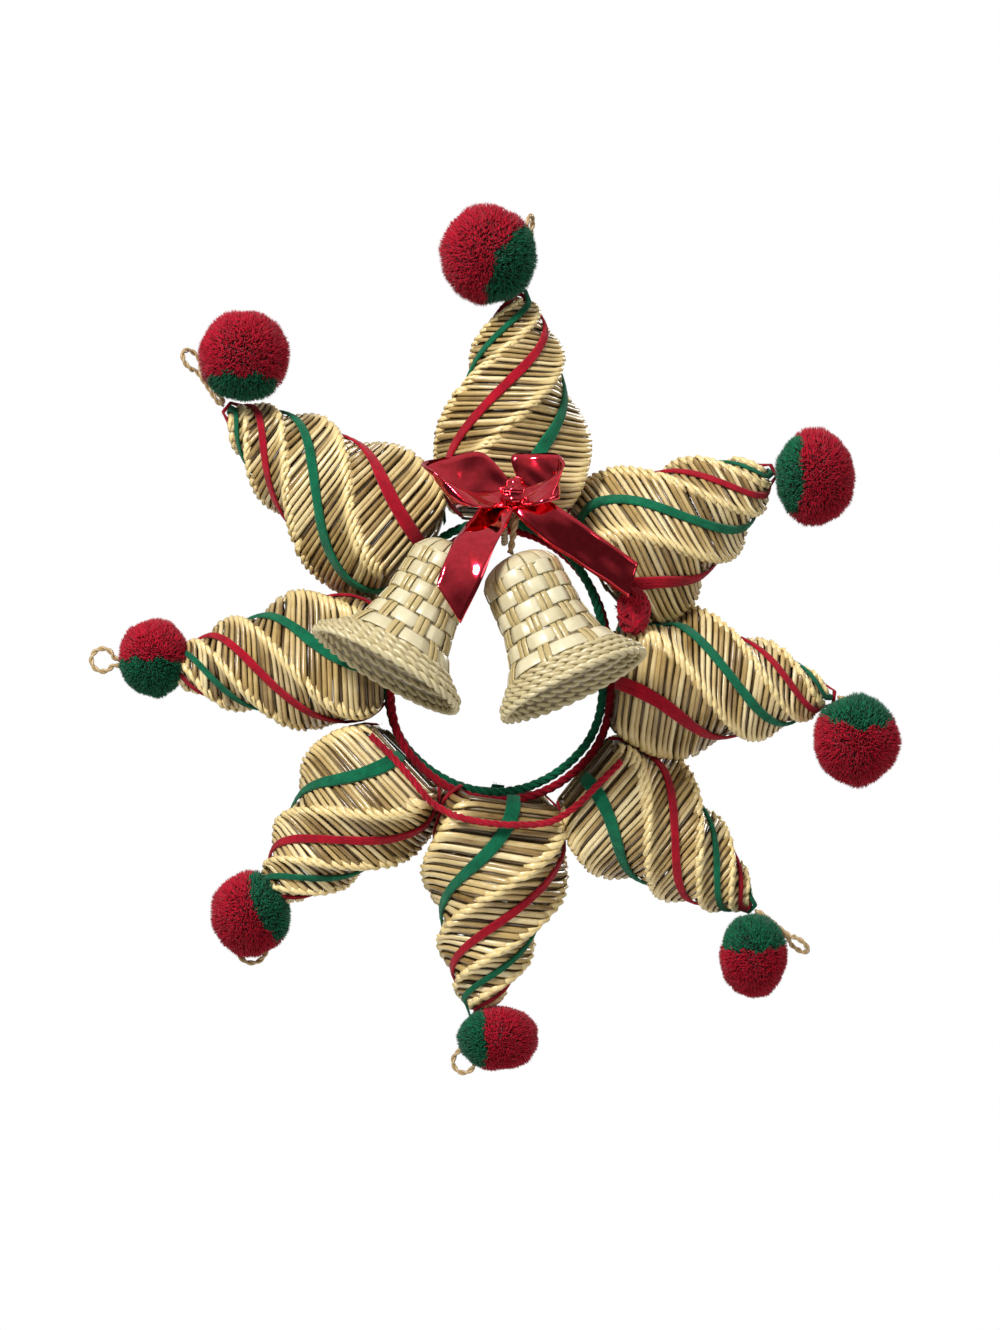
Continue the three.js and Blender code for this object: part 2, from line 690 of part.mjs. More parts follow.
function bellWall(bell) {
  const turn = new THREE.Quaternion().setFromUnitVectors(new THREE.Vector3(0, -1, 0), bellAxis(bell));
  const crown = bellCrown(bell);
  const lathe = new THREE.LatheGeometry(bellProfile(bell), BELL_SIDES);
  return moved(lathe, (from) => from.clone().applyQuaternion(turn).add(crown));
}

for (const [side, bell] of Object.entries(BELLS)) {
  add(`bell_${side}`, bellWall(bell), "palm");
}

// --- Bell cord ----------------------------------------------------------------------------------------

// From the left bell's crown up through the bow's knot, under the top cone's rim, round the tie cords and
// back the same way to the right bell's crown.
const BELL_CORD_SIDES = 5;
const BELL_CORD_STEPS = 24;
const BELL_CORD_ROUTE = [
  [-3, -40, 57.5], [2.5, -36.5, 61.5], [2.6, -23, 53.5], [2.8, -9, 48.5], [2.8, 0, 46.8], [3.4, 7.4, 53],
  [4.6, 0, 60.4], [6, -7.8, 54.5], [7, -22, 53.5], [8.2, -36.5, 60.5], [6.8, -42, 52],
];

function bellCordLine() {
  const [left, right] = [BELLS.left, BELLS.right].map((bell) => {
    return bellCrown(bell).addScaledVector(bellAxis(bell), -BELL_CORD_RADIUS);
  });
  return [left, ...BELL_CORD_ROUTE.map(fromRing), right];
}

function bellCord(radius) {
  return cordThrough(bellCordLine(), radius, BELL_CORD_SIDES, BELL_CORD_STEPS);
}

add("bell_cord", bellCord(BELL_CORD_RADIUS), "straw_cord");

// --- Bow ----------------------------------------------------------------------------------------------

// Stations of the ribbon as pairs of edge points, each [x, y, z] from the ring's centre.
const BOW_LEFT_LOOP = [
  [[6, -36.4, 70.4], [6, -37.2, 61.3]],
  [[-6.7, -36, 83.2], [-4.2, -38, 65.5]],
  [[-20.2, -38, 81.1], [-13, -40, 61.5]],
  [[-31.5, -43, 78.5], [-17.2, -46, 59.6]],
  [[-26, -51, 74.8], [-14.3, -55, 60.5]],
  [[-11, -45, 66.5], [-7.6, -57, 60]],
  [[7.4, -38.3, 68.4], [7.2, -40.2, 60.2]],
];
const BOW_RIGHT_LOOP = [
  [[8.3, -37.3, 70.8], [8.1, -36.6, 61.9]],
  [[5.9, -36, 81.9], [13.4, -38, 66.2]],
  [[15.5, -37, 82.7], [19.7, -40, 64.7]],
  [[24.5, -41, 82.4], [25.2, -45, 64.3]],
  [[27.2, -48, 76.8], [24.6, -52, 63.4]],
  [[17.6, -46, 70.1], [16.8, -54, 61.3]],
  [[6.4, -39.6, 67.7], [6.6, -41.3, 59.9]],
];
const BOW_LEFT_TAIL = [
  [[3, -38.7, 69.1], [11.3, -39.3, 62.2]],
  [[-5, -43, 63], [6.7, -45, 58.8]],
  [[-10.9, -51, 55.4], [4.2, -54, 52.9]],
  [[-17.6, -62, 46.6], [0.8, -63, 47.9]],
  [[-21.4, -68, 38.2], [-2.9, -68, 39.5]],
  [[-24.4, -70, 30.5], [-6.3, -70, 30.3]],
  [[-24.8, -71, 27.7], [-15.1, -71, 12.2]],
];
const BOW_RIGHT_TAIL = [
  [[9.6, -40.4, 68.6], [4.7, -40.1, 60.9]],
  [[18, -43, 65], [10.4, -44, 54]],
  [[31.1, -45, 56.3], [20.7, -45, 45.2]],
  [[42.8, -44, 47.9], [32.1, -44, 37.6]],
  [[58, -42, 37.4], [53.8, -42, 23.1]],
];
const BOW_KNOT_CENTRE = [7.1, -39.5, 65.4];
const BOW_KNOT_HALF_SIZE = new THREE.Vector3(6.4, 4.6, 7.2);
const CORD_ROOM = 0.35;

function ribbon(pairs) {
  const edges = pairs.map((pair) => pair.map(fromRing));
  const stations = edges.map((pair, i) => {
    const before = edges[Math.max(i - 1, 0)];
    const after = edges[Math.min(i + 1, edges.length - 1)];
    const travel = after[0].clone().add(after[1]).sub(before[0]).sub(before[1]);
    const across = pair[1].clone().sub(pair[0]);
    return { edges: pair, away: new THREE.Vector3().crossVectors(travel, across).normalize() };
  });
  return stripThrough(stations, -FOIL_THICKNESS / 2, FOIL_THICKNESS);
}

function bowKnot() {
  const centre = fromRing(BOW_KNOT_CENTRE);
  return moved(new THREE.SphereGeometry(1, 6, 5), (from) => from.clone().multiply(BOW_KNOT_HALF_SIZE).add(centre));
}

function bow() {
  const lengths = [BOW_LEFT_LOOP, BOW_RIGHT_LOOP, BOW_LEFT_TAIL, BOW_RIGHT_TAIL].map(ribbon);
  const whole = lengths.reduce((sum, length) => sum.add(toSolid(length)), toSolid(bowKnot()));
  const parts = whole.subtract(toSolid(bellCord(BELL_CORD_RADIUS + CORD_ROOM))).decompose();
  return fromSolid(parts.sort((a, b) => b.volume() - a.volume())[0]);
}

add("bow", bow(), "foil");

export default star;
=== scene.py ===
"""Looks of a straw star: plaited straw cones, yarn strips, pompoms, woven bells and a foil bow.

Lengths are in millimetres until a mesh is made. The front faces -Y and the origin is inside the top of the
hanging loop, as in the CAD part whose laws these are.
"""

import math

import bmesh
import bpy
import numpy as np
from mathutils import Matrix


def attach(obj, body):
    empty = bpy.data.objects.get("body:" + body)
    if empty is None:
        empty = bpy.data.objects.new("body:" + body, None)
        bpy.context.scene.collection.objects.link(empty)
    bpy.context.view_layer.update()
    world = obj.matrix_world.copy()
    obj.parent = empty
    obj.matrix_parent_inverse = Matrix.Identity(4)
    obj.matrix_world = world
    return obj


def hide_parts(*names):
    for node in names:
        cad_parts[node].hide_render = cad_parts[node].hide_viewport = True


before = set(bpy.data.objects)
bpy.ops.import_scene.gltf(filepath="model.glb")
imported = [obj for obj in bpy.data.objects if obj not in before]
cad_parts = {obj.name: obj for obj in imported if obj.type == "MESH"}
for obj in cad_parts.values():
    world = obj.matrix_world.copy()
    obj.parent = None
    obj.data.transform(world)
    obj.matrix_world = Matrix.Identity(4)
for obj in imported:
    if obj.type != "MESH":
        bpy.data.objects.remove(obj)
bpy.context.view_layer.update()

MM = 0.001
QUARTER = math.pi / 2
RANDOM = np.random.default_rng(20)

# --- Camera -------------------------------------------------------------------------------------------

LENS = 150
SENSOR = 36
VIEW_HEIGHT = 558.6
VIEW_CENTRE = (-13.0, -7.0, -188.1)


def add_camera():
    data = bpy.data.cameras.new("camera")
    data.lens = LENS
    data.sensor_width = SENSOR
    data.clip_end = 20
    camera = bpy.data.objects.new("camera", data)
    distance = VIEW_HEIGHT * LENS / SENSOR
    x, y, z = VIEW_CENTRE
    camera.location = (x * MM, (y - distance) * MM, z * MM)
    camera.rotation_euler = (QUARTER, 0, 0)
    bpy.context.scene.collection.objects.link(camera)
    bpy.context.scene.camera = camera


add_camera()

# --- Named sizes, as in the CAD part ------------------------------------------------------------------

RING_CENTRE = np.array([-13.9, -6.9, -183.4])
RING_HALF_WIDTH = 45.4
RING_HALF_HEIGHT = 53.8
RING_DROP_BELOW = 6.0
TIE_CORD_RADIUS = 1.9
TIE_CORD_SWAY = 2.15
RED_IN_FRONT_AT = 215

TIP_LEAN_BACK = 4
TAPER_POWER = 0.54
TAPER_FULLNESS = 1.22
RIM_DRAW_IN = 0.42
RIM_DRAW_POWER = 11
SECTION_POWER = 1.13
TWIST_POWER = 0.46
TWIST_SLOWS_AT = 0.62
TWIST_SLOWING = 0.48
TOUCH_GAP = 0.8
STRIP_TOUCH_GAP = 3.7
RIM_GUARD = 10

STRIP_GAP = 0.4
STRIP_THICKNESS = 1.1
STRIP_LEAST_WIDTH = 2
STRIP_WIDTH_PER_RADIUS = 0.13

LOOP_CORD_RADIUS = 1.1
LOOP_NECK_RADIUS = 1.75
LOOP_STAND_OFF = 6.4

BELL_HEIGHT = 61
BELL_FORWARD_TILT = 10
BELL_CORD_RADIUS = 1.4

NECK_TIE_RADIUS = 1.5
NECK_TIE_CLEARANCE = 2.9


def cone(base, heading, length, radius, ridges, front):
    return dict(base=base, heading=heading, length=length, radius=radius, ridges=ridges, front=front)


CONES = {
    "top": cone((4.6, 56.3), 87.2, 94.6, 35.2, (20.0, 55.9), "red"),
    "upper_left": cone((-33.9, 40.8), 141.9, 99.9, 33.7, (30.7, 66.4), "green"),
    "left": cone((-47.3, -0.8), 183.2, 91.4, 32.5, (24.4, 52.1), "red"),
    "lower_left": cone((-37.5, -42.7), 225.3, 84.0, 32.8, (23.5, 52.7), "red"),
    "bottom": cone((3.4, -57.1), 262.6, 94.4, 34.0, (23.7, 52.9), "red"),
    "lower_right": cone((35.0, -49.4), 321.3, 90.3, 31.9, (28.6, 57.0), "red"),
    "right": cone((47.9, -8.8), 354.2, 92.0, 34.0, (25.6, 58.0), "green"),
    "upper_right": cone((41.6, 35.3), 29.4, 83.3, 35.2, (27.1, 59.2), "green"),
}
ARMS = list(CONES)

# Distance between two turns of the plait.
PITCH = {"top": 2.3, "bottom": 3.3}
USUAL_PITCH = 2.6

POMPOMS = {
    "top": ((-3.8, -8, 167.2), (21.0, 21.8)),
    "upper_left": ((-106.3, -7, 124.7), (19.7, 20.0)),
    "left": ((-144.7, 5, -1.7), (15.5, 17.0)),
    "lower_left": ((-104.0, 5, -109.5), (17.4, 18.6)),
    "bottom": ((0.2, 4, -161.6), (17.6, 14.2)),
    "lower_right": ((107.1, -3, -126.6), (14.7, 18.4)),
    "right": ((150.4, -2, -36.3), (18.9, 20.0)),
    "upper_right": ((133.3, -2, 74.3), (17.3, 21.2)),
}

# The green part of each pompom: the direction it faces (x, y, z) and the cosine at which it starts.
POMPOM_GREEN = {
    "top": ((0.86, -0.25, -0.45), 0.45),
    "upper_left": ((-0.05, -0.2, -1.0), 0.62),
    "left": ((0.0, -0.1, -1.0), 0.12),
    "lower_left": ((0.9, -0.2, 0.42), 0.45),
    "bottom": ((-1.0, -0.1, 0.0), 0.4),
    "lower_right": ((0.0, -0.1, 1.0), 0.25),
    "right": ((0.05, -0.3, 1.0), 0.55),
    "upper_right": ((-1.0, -0.2, 0.1), 0.55),
}

# Each tip's loop: heading, reach, radius of the eye and turn about its own length.
LOOPS = {
    "top": (81, 37.2, 5.4, 78),
    "upper_left": (125.0, 35.0, 5.0, 55),
    "left": (171.4, 36.0, 4.8, 0),
    "lower_left": (258.0, 32.5, 6.3, 12),
    "bottom": (253.3, 29.6, 4.8, 20),
    "lower_right": (322.0, 34.5, 4.8, 65),
    "right": (320.0, 32.0, 4.8, 60),
    "upper_right": (358.0, 32.0, 4.8, 60),
}

BELLS = {
    "left": dict(mouth=(-46.6, -58, -7.6), swing=-30.0, shoulder=15.9, lip=34.5),
    "right": dict(mouth=(31.7, -56, -14.1), swing=25.6, shoulder=17.1, lip=33.0),
}

# --- Meshes -------------------------------------------------------------------------------------------


def unit(v):
    v = np.asarray(v, float)
    return v / np.maximum(np.linalg.norm(v, axis=-1, keepdims=True), 1e-9)


def mix(a, b, t):
    return a + (b - a) * t


def smooth(low, high, x):
    t = np.clip((np.asarray(x, float) - low) / (high - low), 0, 1)
    return t * t * (3 - 2 * t)


class Skin:
    """Points, faces and values at the points, gathered for one piece."""

    def __init__(self, **defaults):
        self.points, self.faces, self.count = [], [], 0
        self.values = {name: [] for name in defaults}
        self.defaults = defaults

    def add(self, points, faces, **values):
        points = np.asarray(points, float).reshape(-1, 3)
        for f in faces:
            if len(f):
                self.faces.append(np.asarray(f, np.int64) + self.count)
        for name, default in self.defaults.items():
            value = np.asarray(values.get(name, default), float)
            shape = (len(points), 3) if np.ndim(default) else (len(points),)
            self.values[name].append(np.broadcast_to(value, shape))
        self.points.append(points)
        self.count += len(points)

    def build(self, name, material):
        points = np.concatenate(self.points) * MM
        loops = np.concatenate([f.ravel() for f in self.faces]).astype(np.int32)
        totals = np.concatenate([np.full(len(f), f.shape[1]) for f in self.faces]).astype(np.int32)
        starts = np.concatenate([[0], np.cumsum(totals)[:-1]]).astype(np.int32)
        mesh = bpy.data.meshes.new(name)
        mesh.vertices.add(len(points))
        mesh.vertices.foreach_set("co", points.astype(np.float32).ravel())
        mesh.loops.add(len(loops))
        mesh.loops.foreach_set("vertex_index", loops)
        mesh.polygons.add(len(totals))
        mesh.polygons.foreach_set("loop_start", starts)
        mesh.update(calc_edges=True)
        for key, parts in self.values.items():
            data = np.concatenate(parts).astype(np.float32)
            kind, field = ("FLOAT_VECTOR", "vector") if data.ndim == 2 else ("FLOAT", "value")
            mesh.attributes.new(key, kind, "POINT").data.foreach_set(field, data.ravel())
        shape = bmesh.new()
        shape.from_mesh(mesh)
        bmesh.ops.recalc_face_normals(shape, faces=shape.faces)
        for face in shape.faces:
            face.smooth = True
        shape.to_mesh(mesh)
        shape.free()
        mesh.materials.append(material)
        made = bpy.data.objects.new(name, mesh)
        bpy.context.scene.collection.objects.link(made)
        return made


def swept_faces(tubes, stations, sides, closed=False):
    """Faces of tubes whose points are ordered tube, station, side."""
    t = np.arange(tubes)[:, None, None] * stations * sides
    s = np.arange(stations if closed else stations - 1)[None, :, None]
    k = np.arange(sides)[None, None, :]
    here, after = t + s * sides, t + ((s + 1) % stations) * sides
    right = (k + 1) % sides
    quads = np.stack([here + k, here + right, after + right, after + k], -1).reshape(-1, 4)
    if closed:
        return [quads]
    first = (np.arange(tubes)[:, None] * stations * sides) + np.arange(sides)[::-1][None, :]
    last = (np.arange(tubes)[:, None] * stations * sides) + (stations - 1) * sides + np.arange(sides)[None, :]
    return [quads, first, last]


def add_sections(skin, centre, wide, thick, half_wide, half_thick, sides, closed=False, power=1.0, **values):
    """Tubes of elliptic section. centre is (tubes, stations, 3), wide and thick the section's unit axes."""
    angle = 2 * math.pi * np.arange(sides) / sides
    c, s = np.cos(angle), np.sin(angle)
    c = np.sign(c) * np.abs(c) ** power
    s = np.sign(s) * np.abs(s) ** power
    hw = np.asarray(half_wide, float)[..., None, None]
    ht = np.asarray(half_thick, float)[..., None, None]
    points = (centre[:, :, None, :] + wide[:, :, None, :] * hw * c[:, None]
              + thick[:, :, None, :] * ht * s[:, None])
    spread = {}
    for name, value in values.items():
        value = np.asarray(value, float)
        if value.ndim == 4:
            spread[name] = value.reshape(-1, 3)
        elif value.ndim == 2:
            spread[name] = np.broadcast_to(value[:, :, None], points.shape[:3]).ravel()
        else:
            spread[name] = value
    skin.add(points, swept_faces(points.shape[0], points.shape[1], sides, closed), **spread)


SPAN_POINTS = 24


def smooth_line(points, steps, closed=False):
    """Even points along a centripetal Catmull-Rom line through the given ones, and its length."""
    p = np.asarray(points, float)
    if closed:
        ext = np.concatenate([p[-1:], p, p[:2]])
    else:
        ext = np.concatenate([2 * p[:1] - p[1:2], p, 2 * p[-1:] - p[-2:-1]])
    fine = []
    for i in range(len(ext) - 3):
        p0, p1, p2, p3 = ext[i:i + 4]
        t0 = 0.0
        t1 = t0 + max(np.linalg.norm(p1 - p0) ** 0.5, 1e-4)
        t2 = t1 + max(np.linalg.norm(p2 - p1) ** 0.5, 1e-4)
        t3 = t2 + max(np.linalg.norm(p3 - p2) ** 0.5, 1e-4)
        t = np.linspace(t1, t2, SPAN_POINTS, endpoint=False)[:, None]
        a1 = (t1 - t) / (t1 - t0) * p0 + (t - t0) / (t1 - t0) * p1
        a2 = (t2 - t) / (t2 - t1) * p1 + (t - t1) / (t2 - t1) * p2
        a3 = (t3 - t) / (t3 - t2) * p2 + (t - t2) / (t3 - t2) * p3
        b1 = (t2 - t) / (t2 - t0) * a1 + (t - t0) / (t2 - t0) * a2
        b2 = (t3 - t) / (t3 - t1) * a2 + (t - t1) / (t3 - t1) * a3
        fine.append((t2 - t) / (t2 - t1) * b1 + (t - t1) / (t2 - t1) * b2)
    fine.append(p[:1] if closed else p[-1:])
    fine = np.concatenate(fine)
    run = np.concatenate([[0], np.cumsum(np.linalg.norm(np.diff(fine, axis=0), axis=1))])
    at = np.linspace(0, run[-1], steps + 1)
    if closed:
        at = at[:-1]
    return np.stack([np.interp(at, run, fine[:, k]) for k in range(3)], 1), run[-1]


def direction_along(line, closed=False):
    if closed:
        return unit(np.roll(line, -1, 0) - np.roll(line, 1, 0))
    return unit(np.gradient(line, axis=0))


def line_frames(line, closed=False):
    """Unit travel, and two unit directions across it that turn as little as they can."""
    travel = direction_along(line, closed)
    start = np.cross(travel[0], (0.0, 1.0, 0.0))
    if np.linalg.norm(start) < 0.2:
        start = np.cross(travel[0], (1.0, 0.0, 0.0))
    across = [unit(start)]
    for t in travel[1:]:
        across.append(unit(across[-1] - t * np.dot(across[-1], t)))
    across = np.array(across)
    if closed:
        t = travel[0]
        end = unit(across[-1] - t * np.dot(across[-1], t))
        miss = math.atan2(np.dot(np.cross(end, across[0]), t), np.dot(end, across[0]))
        turn = (miss * np.arange(len(line)) / len(line))[:, None]
        across = across * np.cos(turn) + np.cross(travel, across) * np.sin(turn)
    return travel, across, np.cross(travel, across)


STRAND_SHARE = {2: 0.5, 3: 0.464}


def add_rope(skin, line, length, radius, strands, turn_length, sides=6, closed=False, plump=1.0, **values):
    """Strands twisted round each other within a radius. turn_length is the length of one full turn."""
    _, across, other = line_frames(line, closed)
    n = len(line)
    strand = radius * STRAND_SHARE[strands]
    turns = length / turn_length
    if closed:
        turns = max(round(turns), 1)
    along = np.arange(n) / (n if closed else n - 1)
    for k in range(strands):
        angle = (2 * math.pi * (turns * along + k / strands))[:, None]
        out = across * np.cos(angle) + other * np.sin(angle)
        path = line + out * (radius - strand)
        run = direction_along(path, closed)
        thick = unit(out - run * np.sum(out * run, axis=1, keepdims=True))
        wide = np.cross(run, thick)
        fibre = np.zeros((1, n, sides, 3))
        fibre[..., 0] = np.arange(sides) / sides + 3.1 * k
        fibre[..., 1] = (along * length)[None, :, None]
        half = np.full((1, n), strand * plump)
        add_sections(skin, path[None], wide[None], thick[None], half, half, sides, closed, fibre=fibre, **values)


def add_fuzz(skin, roots, out, length, width, bend, **values):
    """Short fibres: a triangle at the root that runs to a point."""
    n = len(roots)
    lean = unit(out + bend * RANDOM.normal(size=(n, 3)))
    side = unit(np.cross(lean, RANDOM.normal(size=(n, 3))))
    other = np.cross(lean, side)
    points = np.empty((n, 4, 3))
    for k in range(3):
        a = 2 * math.pi * k / 3
        points[:, k] = roots + width * (side * math.cos(a) + other * math.sin(a))
    points[:, 3] = roots + lean * length * RANDOM.uniform(0.5, 1.0, (n, 1))
    first = np.arange(n)[:, None] * 4
    faces = np.concatenate([first + np.array(f) for f in ((0, 1, 3), (1, 2, 3), (2, 0, 3), (2, 1, 0))])
    skin.add(points, [faces], **values)


def ball_grid(rings, columns):
    """Unit directions in rings from pole to pole."""
    polar = np.linspace(0, math.pi, rings + 2)[1:-1, None]
    turn = 2 * math.pi * np.arange(columns) / columns
    parts = (np.sin(polar) * np.cos(turn), np.sin(polar) * np.sin(turn), np.cos(polar) + 0 * turn)
    return np.stack(parts, -1).reshape(-1, 3)


def even_directions(count):
    """Directions spread evenly over a ball, a little disturbed."""
    i = np.arange(count) + 0.5
    polar = np.arccos(1 - 2 * i / count)
    turn = math.pi * (1 + 5 ** 0.5) * i
    even = np.stack([np.cos(turn) * np.sin(polar), np.sin(turn) * np.sin(polar), np.cos(polar)], 1)
    return unit(even + RANDOM.normal(size=even.shape) * 0.05)


# --- The plaited cone's surface -----------------------------------------------------------------------


def cone_frame(law):
    heading, lean = math.radians(law["heading"]), math.radians(TIP_LEAN_BACK)
    along = np.array([math.cos(heading) * math.cos(lean), math.sin(lean), math.sin(heading) * math.cos(lean)])
    side = np.array([math.sin(heading), 0, -math.cos(heading)])
    face = np.cross(side, along)
    base = RING_CENTRE + np.array([law["base"][0], 0, law["base"][1]])
    return base + along * law["length"], along, side, face


FRAMES = {name: cone_frame(law) for name, law in CONES.items()}


def ridge_radius(name, u):
    law = CONES[name]
    w = np.clip(u / law["length"], 0, 1)
    return law["radius"] * TAPER_FULLNESS * w ** TAPER_POWER * (1 - RIM_DRAW_IN * w ** RIM_DRAW_POWER)


def ridge_angle(name, u):
    law = CONES[name]
    near, far = (distance ** TWIST_POWER for distance in law["ridges"])
    slow_start = TWIST_SLOWS_AT * law["length"]
    past = np.maximum(u - slow_start, 0)
    turned = np.maximum(u, 0) - TWIST_SLOWING * past ** 2 / (law["length"] - slow_start)
    return -QUARTER * (turned ** TWIST_POWER - near) / (far - near)


def section_reach(angle):
    total = np.abs(np.cos(angle)) ** SECTION_POWER + np.abs(np.sin(angle)) ** SECTION_POWER
    return total ** (-1 / SECTION_POWER)


def cone_reach(name, u, angle):
    return ridge_radius(name, u) * section_reach(angle - ridge_angle(name, u))


def cone_point(name, u, angle, radius):
    tip, along, side, face = FRAMES[name]
    u, angle, radius = (np.asarray(v, float)[..., None] for v in (u, angle, radius))
    return tip - along * u + face * radius * np.cos(angle) + side * radius * np.sin(angle)


def outward(name, angle):
    _, _, side, face = FRAMES[name]
    angle = np.asarray(angle)[..., None]
    return face * np.cos(angle) + side * np.sin(angle)


def share(name, point):
    """How far out of a cone a point lies, as a share of the cone's own reach."""
    tip, along, side, face = FRAMES[name]
    apart = point - tip
    u = -(apart @ along)
    across, forward = apart @ side, apart @ face
    length = CONES[name]["length"]
    reach = cone_reach(name, np.clip(u, 0.01, length), np.arctan2(across, forward))
    return np.where((u <= 0) | (u > length + RIM_GUARD), np.inf, np.hypot(across, forward) / reach)


PRESS_STEPS = 14


def pressed_reach(name, u, angle, gap):
    """Reach of a cone where its neighbours press against it, a small gap apart."""
    u, angle = np.broadcast_arrays(np.asarray(u, float), np.asarray(angle, float))
    reach = cone_reach(name, np.maximum(u, 0.01), angle)
    result = reach.copy()
    index = ARMS.index(name)
    for other in (ARMS[index - 1], ARMS[(index + 1) % len(ARMS)]):
        free = (result + gap) / reach <= share(other, cone_point(name, u, angle, result))
        low, high = 0.3 * reach, result.copy()
        for _ in range(PRESS_STEPS):
            middle = (low + high) / 2
            fits = (middle + gap) / reach <= share(other, cone_point(name, u, angle, middle))
            low, high = np.where(fits, middle, low), np.where(fits, high, middle)
        result = np.where(free, result, low)
    return result


# --- Materials ----------------------------------------------------------------------------------------


class Nodes:
    """A material's node tree with short ways to add and join nodes."""

    def __init__(self, name):
        self.material = bpy.data.materials.new(name)
        self.material.use_nodes = True
        self.tree = self.material.node_tree
        self.tree.nodes.clear()
        self.shader = self.make("ShaderNodeBsdfPrincipled")
        out = self.make("ShaderNodeOutputMaterial")
        self.join(self.shader.outputs[0], out.inputs["Surface"])

    def make(self, kind, **settings):
        node = self.tree.nodes.new(kind)
        for key, value in settings.items():
            setattr(node, key, value)
        return node

    def join(self, source, target):
        self.tree.links.new(source, target)

    def feed(self, node, key, value):
        if isinstance(value, bpy.types.NodeSocket):
            self.join(value, node.inputs[key])
        else:
            node.inputs[key].default_value = value

    def attribute(self, name, output="Fac"):
        return self.make("ShaderNodeAttribute", attribute_name=name).outputs[output]

    def math(self, operation, a, b=0.0, c=0.0):
        node = self.make("ShaderNodeMath", operation=operation)
        for key, value in enumerate((a, b, c)):
            self.feed(node, key, value)
        return node.outputs[0]

    def scaled(self, vector, scale):
        node = self.make("ShaderNodeVectorMath", operation="MULTIPLY")
        self.feed(node, 0, vector)
        node.inputs[1].default_value = scale
        return node.outputs[0]

    def place(self):
        return self.make("ShaderNodeTexCoord").outputs["Object"]

    def noise(self, vector, scale, detail=2.0, roughness=0.5):
        node = self.make("ShaderNodeTexNoise")
        self.feed(node, "Vector", vector)
        node.inputs["Scale"].default_value = scale
        node.inputs["Detail"].default_value = detail
        node.inputs["Roughness"].default_value = roughness
        return node.outputs["Fac"]

    def ramp(self, value, *stops):
        node = self.make("ShaderNodeValToRGB")
        self.join(value, node.inputs[0])
        elements = node.color_ramp.elements
        while len(elements) < len(stops):
            elements.new(0.5)
        for element, (position, colour) in zip(elements, stops):
            element.position = position
            element.color = (*colour, 1)
        return node.outputs[0]

    def blend(self, amount, a, b, kind="MIX"):
        node = self.make("ShaderNodeMix", data_type="RGBA", blend_type=kind)
        self.feed(node, 0, amount)
        for key, value in ((6, a), (7, b)):
            self.feed(node, key, value if isinstance(value, bpy.types.NodeSocket) else (*value, 1))
        return node.outputs[2]

    def bump(self, height, strength, distance):
        node = self.make("ShaderNodeBump")
        node.inputs["Strength"].default_value = strength
        node.inputs["Distance"].default_value = distance * MM
        self.join(height, node.inputs["Height"])
        self.join(node.outputs[0], self.shader.inputs["Normal"])

    def set(self, **values):
        for key, value in values.items():
            self.feed(self.shader, key.replace("_", " "), value)


def straw_material(name, dark, middle, light, fold_colour, rough=0.38):
    n = Nodes(name)
    streak = n.noise(n.scaled(n.attribute("fibre", "Vector"), (9.0, 0.12, 1.0)), 1.0, 3.0, 0.6)
    blotch = n.noise(n.place(), 90.0, 3.0, 0.6)
    level = n.math("ADD", n.math("MULTIPLY", streak, 0.45), n.math("MULTIPLY", n.attribute("tint"), 0.7))
    level = n.math("ADD", level, n.math("MULTIPLY_ADD", blotch, 0.5, -0.3))
    colour = n.ramp(level, (0.08, dark), (0.5, middle), (0.95, light))
    colour = n.blend(n.attribute("fold"), colour, fold_colour)
    # painted shade: where the attribute rises to 1 the colour is darkened towards deep brown, for the shade in gaps
    # and hollows
    shade = n.ramp(n.attribute("deep"), (0.0, (1, 1, 1)), (1.0, (0.10, 0.055, 0.03)))
    n.set(Base_Color=n.blend(1.0, colour, shade, "MULTIPLY"))
    n.set(Roughness=n.math("MULTIPLY_ADD", streak, 0.25, rough - 0.12))
    n.set(Specular_IOR_Level=0.6, Coat_Weight=0.3, Coat_Roughness=0.22)
    n.bump(streak, 0.5, 0.12)
    return n.material


def yarn_material(name, dark, light):
    n = Nodes(name)
    strands = n.noise(n.scaled(n.attribute("fibre", "Vector"), (14.0, 0.5, 1.0)), 1.0, 3.0, 0.65)
    cloud = n.noise(n.place(), 160.0, 3.0, 0.6)
    level = n.math("ADD", n.math("MULTIPLY", strands, 0.6), n.math("MULTIPLY", cloud, 0.5))
    level = n.math("ADD", level, n.math("MULTIPLY_ADD", n.attribute("tint"), 0.3, -0.2))
    n.set(Base_Color=n.ramp(level, (0.25, dark), (0.75, light)), Roughness=0.95)
    n.set(Sheen_Weight=0.15, Sheen_Roughness=0.5, Specular_IOR_Level=0.15)
    n.bump(strands, 0.7, 0.25)
    return n.material


def pompom_material():
    n = Nodes("pompom_yarn")
    tint = n.attribute("tint")
    red = n.ramp(tint, (0.0, (0.24, 0.0, 0.006)), (0.55, (0.50, 0.001, 0.022)), (1.0, (0.70, 0.008, 0.04)))
    green = n.ramp(tint, (0.0, (0.0, 0.035, 0.016)), (0.55, (0.0, 0.12, 0.05)), (1.0, (0.01, 0.23, 0.10)))
    colour = n.blend(n.attribute("green"), red, green)
    # painted shade: the core and the roots of the fibres are darkened to a quarter, for the shade deep among the
    # fibres
    shade = n.ramp(n.attribute("fold"), (0.0, (0.25, 0.25, 0.25)), (1.0, (1, 1, 1)))
    n.set(Base_Color=n.blend(1.0, colour, shade, "MULTIPLY"), Roughness=0.9)
    n.set(Sheen_Weight=0.1, Sheen_Roughness=0.5, Specular_IOR_Level=0.2)
    return n.material


